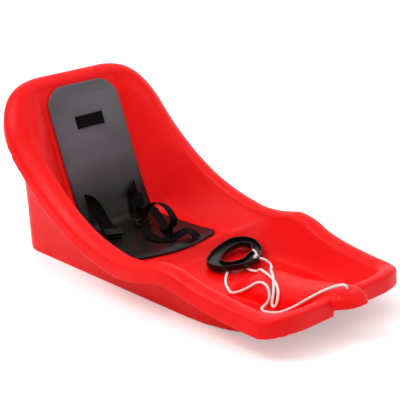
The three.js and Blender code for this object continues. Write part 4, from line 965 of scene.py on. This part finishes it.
def triangle(inset_by, grip):
    """Rounded triangle with bulging sides, moved in by a distance, and by some more on its long side."""
    round_by = HANDLE_ROUND - inset_by
    half = HANDLE_LENGTH / 2 - HANDLE_ROUND - grip
    tip = HANDLE_DEPTH - HANDLE_ROUND - grip * HANDLE_TIP_SHARE
    corners = [(HANDLE_ROUND + grip, -half), (tip, 0), (HANDLE_ROUND + grip, half)]
    points = []
    for i, (x, y) in enumerate(corners):
        (x0, y0), (x1, y1) = corners[(i + 2) % 3], corners[(i + 1) % 3]
        start = math.atan2(y - y0, x - x0) - math.pi / 2
        end = math.atan2(y1 - y, x1 - x) - math.pi / 2
        while end < start:
            end += 2 * math.pi
        for k in range(HANDLE_STEPS + 1):
            angle = start + (end - start) * k / HANDLE_STEPS
            points.append((x + round_by * math.cos(angle), y + round_by * math.sin(angle)))
        for k in range(1, HANDLE_SIDE_STEPS):
            share = k / HANDLE_SIDE_STEPS
            reach = round_by + HANDLE_BULGE * 4 * share * (1 - share)
            along, across = x + (x1 - x) * share, y + (y1 - y) * share
            points.append((along + reach * math.cos(end), across + reach * math.sin(end)))
    return even_ring(np.array(points), HANDLE_POINTS, HANDLE_SOFT)


def even_ring(points, count, soft):
    """The ring at even steps, with its kinks smoothed away."""
    closed = np.vstack([points, points[:1]])
    run = running(closed)
    even = np.arange(count) / count * run[-1]
    ring = np.stack([np.interp(even, run, closed[:, k]) for k in (0, 1)], 1)
    for _ in range(soft):
        ring = ring * 0.5 + (np.roll(ring, 1, 0) + np.roll(ring, -1, 0)) * 0.25
    return ring


def band_sections():
    """The handle's section carried round its triangle: a channel open at the top, with rounded edges."""
    wall, height, soft, fillet = HANDLE_WALL, HANDLE_HEIGHT, HANDLE_EDGE, HANDLE_FILLET
    near = [
        (soft * 1.6, 0), (soft * 0.5, soft * 0.5), (0, soft * 1.6), (0, height - soft),
        (soft * 0.35, height - soft * 0.3), (wall / 2, height), (wall - soft * 0.3, height - soft * 0.3),
        (wall, height - soft), (wall, wall + fillet), (wall + 0.5, wall + 0.5), (wall + fillet, wall),
    ]
    outline = [(d, z, 0) for d, z in near]
    outline += [(HANDLE_BAND - d, z, HANDLE_GRIP_EXTRA) for d, z in reversed(near)]
    rings = [np.column_stack([triangle(d, g), np.full(HANDLE_POINTS, z)]) for d, z, g in outline]
    return list(np.stack(rings, 1))


def make_handle():
    grip = loft_sections("grip", band_sections(), closed=True)
    half = HANDLE_LENGTH / 2 - HANDLE_BAND / 2 - HANDLE_WALL
    for y in (-half, half):
        place = Matrix.Translation((HANDLE_ROUND * POST_SHARE, y, HANDLE_HEIGHT / 2 - HANDLE_WALL / 2))
        join(grip, drum_block("post", POST_DIAMETER / 2, HANDLE_HEIGHT - HANDLE_WALL, place, 32))
        place = place @ Matrix.Translation((0, 0, HANDLE_WALL))
        cut(grip, drum_block("bore", POST_DIAMETER / 5, HANDLE_HEIGHT, place, 24))
    place = Matrix.Translation((HANDLE_DEPTH, 0, HANDLE_WALL + KNOT_DIAMETER / 2 + WEBBING_GAP))
    place = place @ Matrix.Rotation(math.pi / 2, 4, "Y")
    cut(grip, drum_block("bore", HANDLE_HOLE / 2, HANDLE_BAND * 2, place, 32))
    matrix = handle_matrix()
    matrix.translation *= MM
    grip.data.transform(matrix)
    smooth_by_angle(grip, 40)
    return grip


mat = make_mat()
belt = make_belt()
socket_half = soft_edged("socket_half", "buckle_socket", 0.5)
plug_half = soft_edged("plug_half", "buckle_plug", 0.4)
grip = make_handle()

FREE_END = ((-3.6, 3, 6.4), (-7.6, 2.8, 8.8), (-11.4, 1.6, 10.4))
knot_nose = overhand("knot_nose", (357, 0, 77.8), (0, 0, -1), 3.4)
knot_grip = overhand("knot_grip", (74.0, 74.8, 43.4), (-0.95, -0.31, 0), 3.9, FREE_END)


# Materials
class Nodes:
    """A node tree with short ways to add and link nodes."""

    def __init__(self, tree):
        self.tree = tree

    def add(self, kind, inputs=(), **settings):
        node = self.tree.nodes.new(kind)
        for key, value in settings.items():
            setattr(node, key, value)
        for socket, value in dict(inputs).items():
            self.set(node, socket, value)
        return node

    def set(self, node, socket, value):
        if isinstance(value, bpy.types.NodeSocket):
            self.tree.links.new(value, node.inputs[socket])
        else:
            node.inputs[socket].default_value = value

    def span(self, value, low, high, to_low=0.0, to_high=1.0, how="LINEAR"):
        """Maps a value's range to another one, and clamps it there."""
        return self.add("ShaderNodeMapRange", {
            "Value": value, "From Min": low, "From Max": high, "To Min": to_low, "To Max": to_high,
        }, interpolation_type=how).outputs["Result"]

    def math(self, how, first, second=0.0):
        return self.add("ShaderNodeMath", {0: first, 1: second}, operation=how).outputs["Value"]

    def plus(self, first, second):
        return self.math("ADD", first, second)

    def times(self, first, second):
        return self.math("MULTIPLY", first, second)


class Surface(Nodes):
    """A Principled material."""

    def __init__(self, name, colour, roughness, specular=0.5):
        self.material = bpy.data.materials.new(name)
        self.material.use_nodes = True
        super().__init__(self.material.node_tree)
        self.shader = self.tree.nodes["Principled BSDF"]
        self.set(self.shader, "Base Color", (*colour, 1))
        self.set(self.shader, "Roughness", roughness)
        self.set(self.shader, "Specular IOR Level", specular)
        self.place = self.add("ShaderNodeTexCoord").outputs["Object"]

    def noise(self, scale, detail=2.0, stretch=None):
        place = self.place
        if stretch:
            place = self.add("ShaderNodeMapping", {"Vector": place, "Scale": stretch}).outputs["Vector"]
        return self.add("ShaderNodeTexNoise", {
            "Vector": place, "Scale": scale, "Detail": detail,
        }).outputs["Fac"]

    def cells(self, scale):
        return self.add("ShaderNodeTexVoronoi", {"Vector": self.place, "Scale": scale}).outputs["Distance"]

    def parts(self, vector):
        return self.add("ShaderNodeSeparateXYZ", {0: vector}).outputs

    def mix(self, share, first, second):
        first, second = [
            value if isinstance(value, bpy.types.NodeSocket) else (*value, 1) for value in (first, second)]
        return self.add("ShaderNodeMix", {0: share, 6: first, 7: second}, data_type="RGBA").outputs[2]

    def colour(self, value):
        self.set(self.shader, "Base Color", value)

    def rough(self, value):
        self.set(self.shader, "Roughness", value)

    def bump(self, height, distance, strength):
        node = self.add("ShaderNodeBump", {"Height": height, "Distance": distance, "Strength": strength})
        self.set(self.shader, "Normal", node.outputs["Normal"])


def shell_plastic():
    """Bright moulded polyethylene: a fine grain, cloudy gloss, faint dust and a few hair-thin scuffs."""
    s = Surface("red_polyethylene", (0.93, 0.003, 0.004), 0.4, 0.16)
    clouds = s.noise(9.0, 3.0)
    tone = s.mix(s.span(clouds, 0.35, 0.65), (0.90, 0.002, 0.003), (0.95, 0.004, 0.005))
    scuffs = s.span(s.noise(70.0, 3.0, (0.12, 1.0, 1.0)), 0.70, 0.76)
    patch = s.span(s.noise(5.0, 1.0), 0.52, 0.62)
    worn = s.times(s.times(scuffs, patch), 0.22)
    s.colour(s.mix(worn, tone, (0.95, 0.10, 0.09)))
    gloss = s.span(s.noise(26.0, 3.0), 0.3, 0.7, 0.34, 0.46)
    s.rough(s.plus(gloss, s.times(worn, 0.6)))
    grain = s.plus(s.noise(1500.0, 2.0), s.times(s.noise(420.0, 2.0), 0.6))
    s.bump(grain, 0.00008, 0.45)
    return s.material


def mat_foam():
    """Closed-cell foam sheet: dark, with a fine cell grain; its upright back is painted paler in blotches, as
    painted light and sheen.
    """
    s = Surface("dark_foam", (0.012, 0.012, 0.014), 0.36, 0.28)
    speckle = s.span(s.cells(900.0), 0.1, 0.6)
    base = s.mix(speckle, (0.006, 0.005, 0.006), (0.003, 0.003, 0.003))
    # Painted light: above about 95 mm the upright back is coloured pale grey in blotches, standing for the
    # light and sheen that fall on it.
    lit_back_mask = s.span(s.parts(s.place)[2], 0.095, 0.175)
    sheen_blotches = s.span(s.noise(11.0, 4.0, (1.0, 0.6, 1.0)), 0.35, 0.75, 0.62, 1.0)
    s.colour(s.mix(s.times(sheen_blotches, lit_back_mask), base, (0.135, 0.130, 0.145)))
    s.rough(s.span(s.noise(18.0, 3.0), 0.3, 0.7, 0.30, 0.42))
    grain = s.plus(s.cells(1300.0), s.times(s.noise(300.0, 3.0), 0.7))
    s.bump(grain, 0.00012, 0.4)
    return s.material


def strap_weave():
    """Polypropylene webbing: rows of weft ribs, a herringbone of warp and plain edges."""
    s = Surface("woven_strap", (0.008, 0.008, 0.009), 0.6, 0.06)
    layer = s.add("ShaderNodeAttribute", attribute_name="strap")
    along, across, _ = s.parts(layer.outputs["Vector"])
    rib = s.math("SINE", s.times(along, 2 * math.pi / 0.0016))
    fold = s.math("PINGPONG", across, 0.0031)
    slant = s.math("SINE", s.times(s.plus(along, fold), 2 * math.pi / 0.0024))
    warp = s.math("SINE", s.times(across, 2 * math.pi / 0.0009))
    weave = s.plus(s.times(rib, 0.45), s.times(slant, 0.4))
    weave = s.plus(weave, s.times(warp, 0.15))
    # Painted shade and light: the colour is darker in the weave's hollows and lighter on its ribs, following
    # the same relief as the bump.
    lit = s.span(weave, -0.8, 0.9)
    fuzz = s.span(s.noise(700.0, 2.0), 0.3, 0.75)
    s.colour(s.mix(s.times(lit, fuzz), (0.001, 0.001, 0.0015), (0.007, 0.0065, 0.007)))
    s.rough(s.span(lit, 0.0, 1.0, 0.72, 0.5))
    s.bump(weave, 0.00012, 0.7)
    return s.material


def buckle_plastic():
    """Black acetal: satin, with the fine spark-eroded texture that such mouldings have."""
    s = Surface("black_acetal", (0.006, 0.006, 0.007), 0.4, 0.35)
    s.colour(s.mix(s.span(s.noise(60.0, 3.0), 0.4, 0.7), (0.005, 0.005, 0.006), (0.010, 0.010, 0.011)))
    s.rough(s.span(s.noise(140.0, 3.0), 0.3, 0.7, 0.34, 0.5))
    s.bump(s.noise(2600.0, 2.0), 0.00006, 0.5)
    return s.material


def handle_plastic():
    """Glossy black moulding with faint flow marks and fine handling scratches."""
    s = Surface("glossy_black", (0.008, 0.006, 0.006), 0.2, 0.28)
    flow = s.noise(24.0, 3.0, (1.0, 0.35, 1.0))
    s.colour(s.mix(s.span(flow, 0.35, 0.7), (0.004, 0.003, 0.003), (0.009, 0.006, 0.006)))
    scratches = s.span(s.noise(160.0, 3.0, (1.0, 0.08, 1.0)), 0.66, 0.74, 0.0, 0.18)
    s.rough(s.plus(s.span(flow, 0.3, 0.7, 0.15, 0.25), scratches))
    s.bump(s.noise(240.0, 2.0), 0.00005, 0.35)
    return s.material


def rope_yarn():
    """White braided yarn with painted grey shade in the hollows of its fine fibre bump, and a fibrous fuzz.
    """
    s = Surface("white_yarn", (0.94, 0.92, 0.91), 0.85)
    fibre_relief_and_shade = s.noise(1900.0, 3.0)
    tone = s.mix(s.span(s.noise(45.0, 2.0), 0.35, 0.7), (0.97, 0.96, 0.95), (0.91, 0.89, 0.88))
    # Painted shade: the low points of the fibre bump are coloured grey, standing for shade in the hollows.
    s.colour(s.mix(s.span(fibre_relief_and_shade, 0.35, 0.6), (0.80, 0.78, 0.77), tone))
    s.rough(s.span(fibre_relief_and_shade, 0.3, 0.7, 0.95, 0.78))
    s.bump(fibre_relief_and_shade, 0.00016, 0.7)
    return s.material


def studio_floor():
    """Pale floor that the camera sees as white, with the object's shadow kept."""
    s = Surface("studio_floor", FLOOR_COLOUR, 0.9)
    ways = s.add("ShaderNodeLightPath").outputs
    seen = s.math("MAXIMUM", ways["Is Glossy Ray"], ways["Is Transmission Ray"])
    strength = s.times(s.math("MAXIMUM", ways["Is Camera Ray"], seen), FLOOR_GLOW)
    glow = s.add("ShaderNodeEmission", {"Color": (1, 1, 1, 1), "Strength": strength})
    total = s.add("ShaderNodeAddShader", {0: s.shader.outputs["BSDF"], 1: glow.outputs["Emission"]})
    s.set(s.tree.nodes["Material Output"], "Surface", total.outputs["Shader"])
    return s.material


# Which body each piece rides on, the solid that it stands for, and the slot of its finish
acetal, yarn = buckle_plastic(), rope_yarn()
PIECES = (
    (shell, shell_plastic(), "sled", "shell", "shell_plastic"),
    (mat, mat_foam(), "sled", "seat_mat", "mat_foam"),
    (belt, strap_weave(), "sled", "harness_webbing", "webbing"),
    (socket_half, acetal, "socket", "buckle_socket", "buckle_plastic"),
    (plug_half, acetal, "plug", "buckle_plug", "buckle_plastic"),
    (grip, handle_plastic(), "handle", "pull_handle", "handle_plastic"),
    (rope, yarn, "sled", "pull_rope", "rope"),
    (knot_nose, yarn, "sled", "nose_knot", "rope"),
    (knot_grip, yarn, "handle", "handle_knot", "rope"),
)
for piece, material, body, node, slot in PIECES:
    piece.data.materials.clear()
    piece.data.materials.append(material)
    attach(piece, body)
    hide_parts(node)

# Studio: a white backdrop behind the object, soft light overhead, less from the camera's side
BACKDROP_SIDE = (-0.716, 0.698, 1.2)
WORLD_LOW, WORLD_HIGH = 0.36, 0.98
FLOOR_COLOUR = (0.86, 0.86, 0.86)
FLOOR_GLOW, FLOOR_SIZE = 0.36, 8
LAMP_PLACE = Vector((-0.5, -1.5, 2.4))
LAMP_POWER, LAMP_SIZE = 27.0, 1.2
world = bpy.data.worlds.new("studio")
bpy.context.scene.world = world
world.use_nodes = True
sky = Nodes(world.node_tree)
facing = sky.add("ShaderNodeVectorMath", {1: BACKDROP_SIDE}, operation="DOT_PRODUCT")
sky.set(facing, 0, sky.add("ShaderNodeTexCoord").outputs["Generated"])
level = sky.span(facing.outputs["Value"], -0.9, 1.0, WORLD_LOW, WORLD_HIGH, "SMOOTHSTEP")
ways = sky.add("ShaderNodeLightPath").outputs
seen = sky.math("MAXIMUM", ways["Is Camera Ray"], ways["Is Transmission Ray"])
backdrop = sky.tree.nodes["Background"]
sky.set(backdrop, "Color", (1, 1, 1, 1))
sky.set(backdrop, "Strength", sky.math("MAXIMUM", level, seen))

bpy.ops.mesh.primitive_plane_add(size=FLOOR_SIZE, location=(0, 0, 0))
floor = bpy.context.object
floor.name = "floor"
floor.data.materials.append(studio_floor())

lamp = bpy.data.lights.new("key", "AREA")
lamp.energy = LAMP_POWER
lamp.size = LAMP_SIZE
key = put("key", lamp)
key.location = LAMP_PLACE
key.rotation_euler = LAMP_PLACE.to_track_quat("Z", "Y").to_euler()

bpy.context.scene.view_settings.view_transform = "Standard"
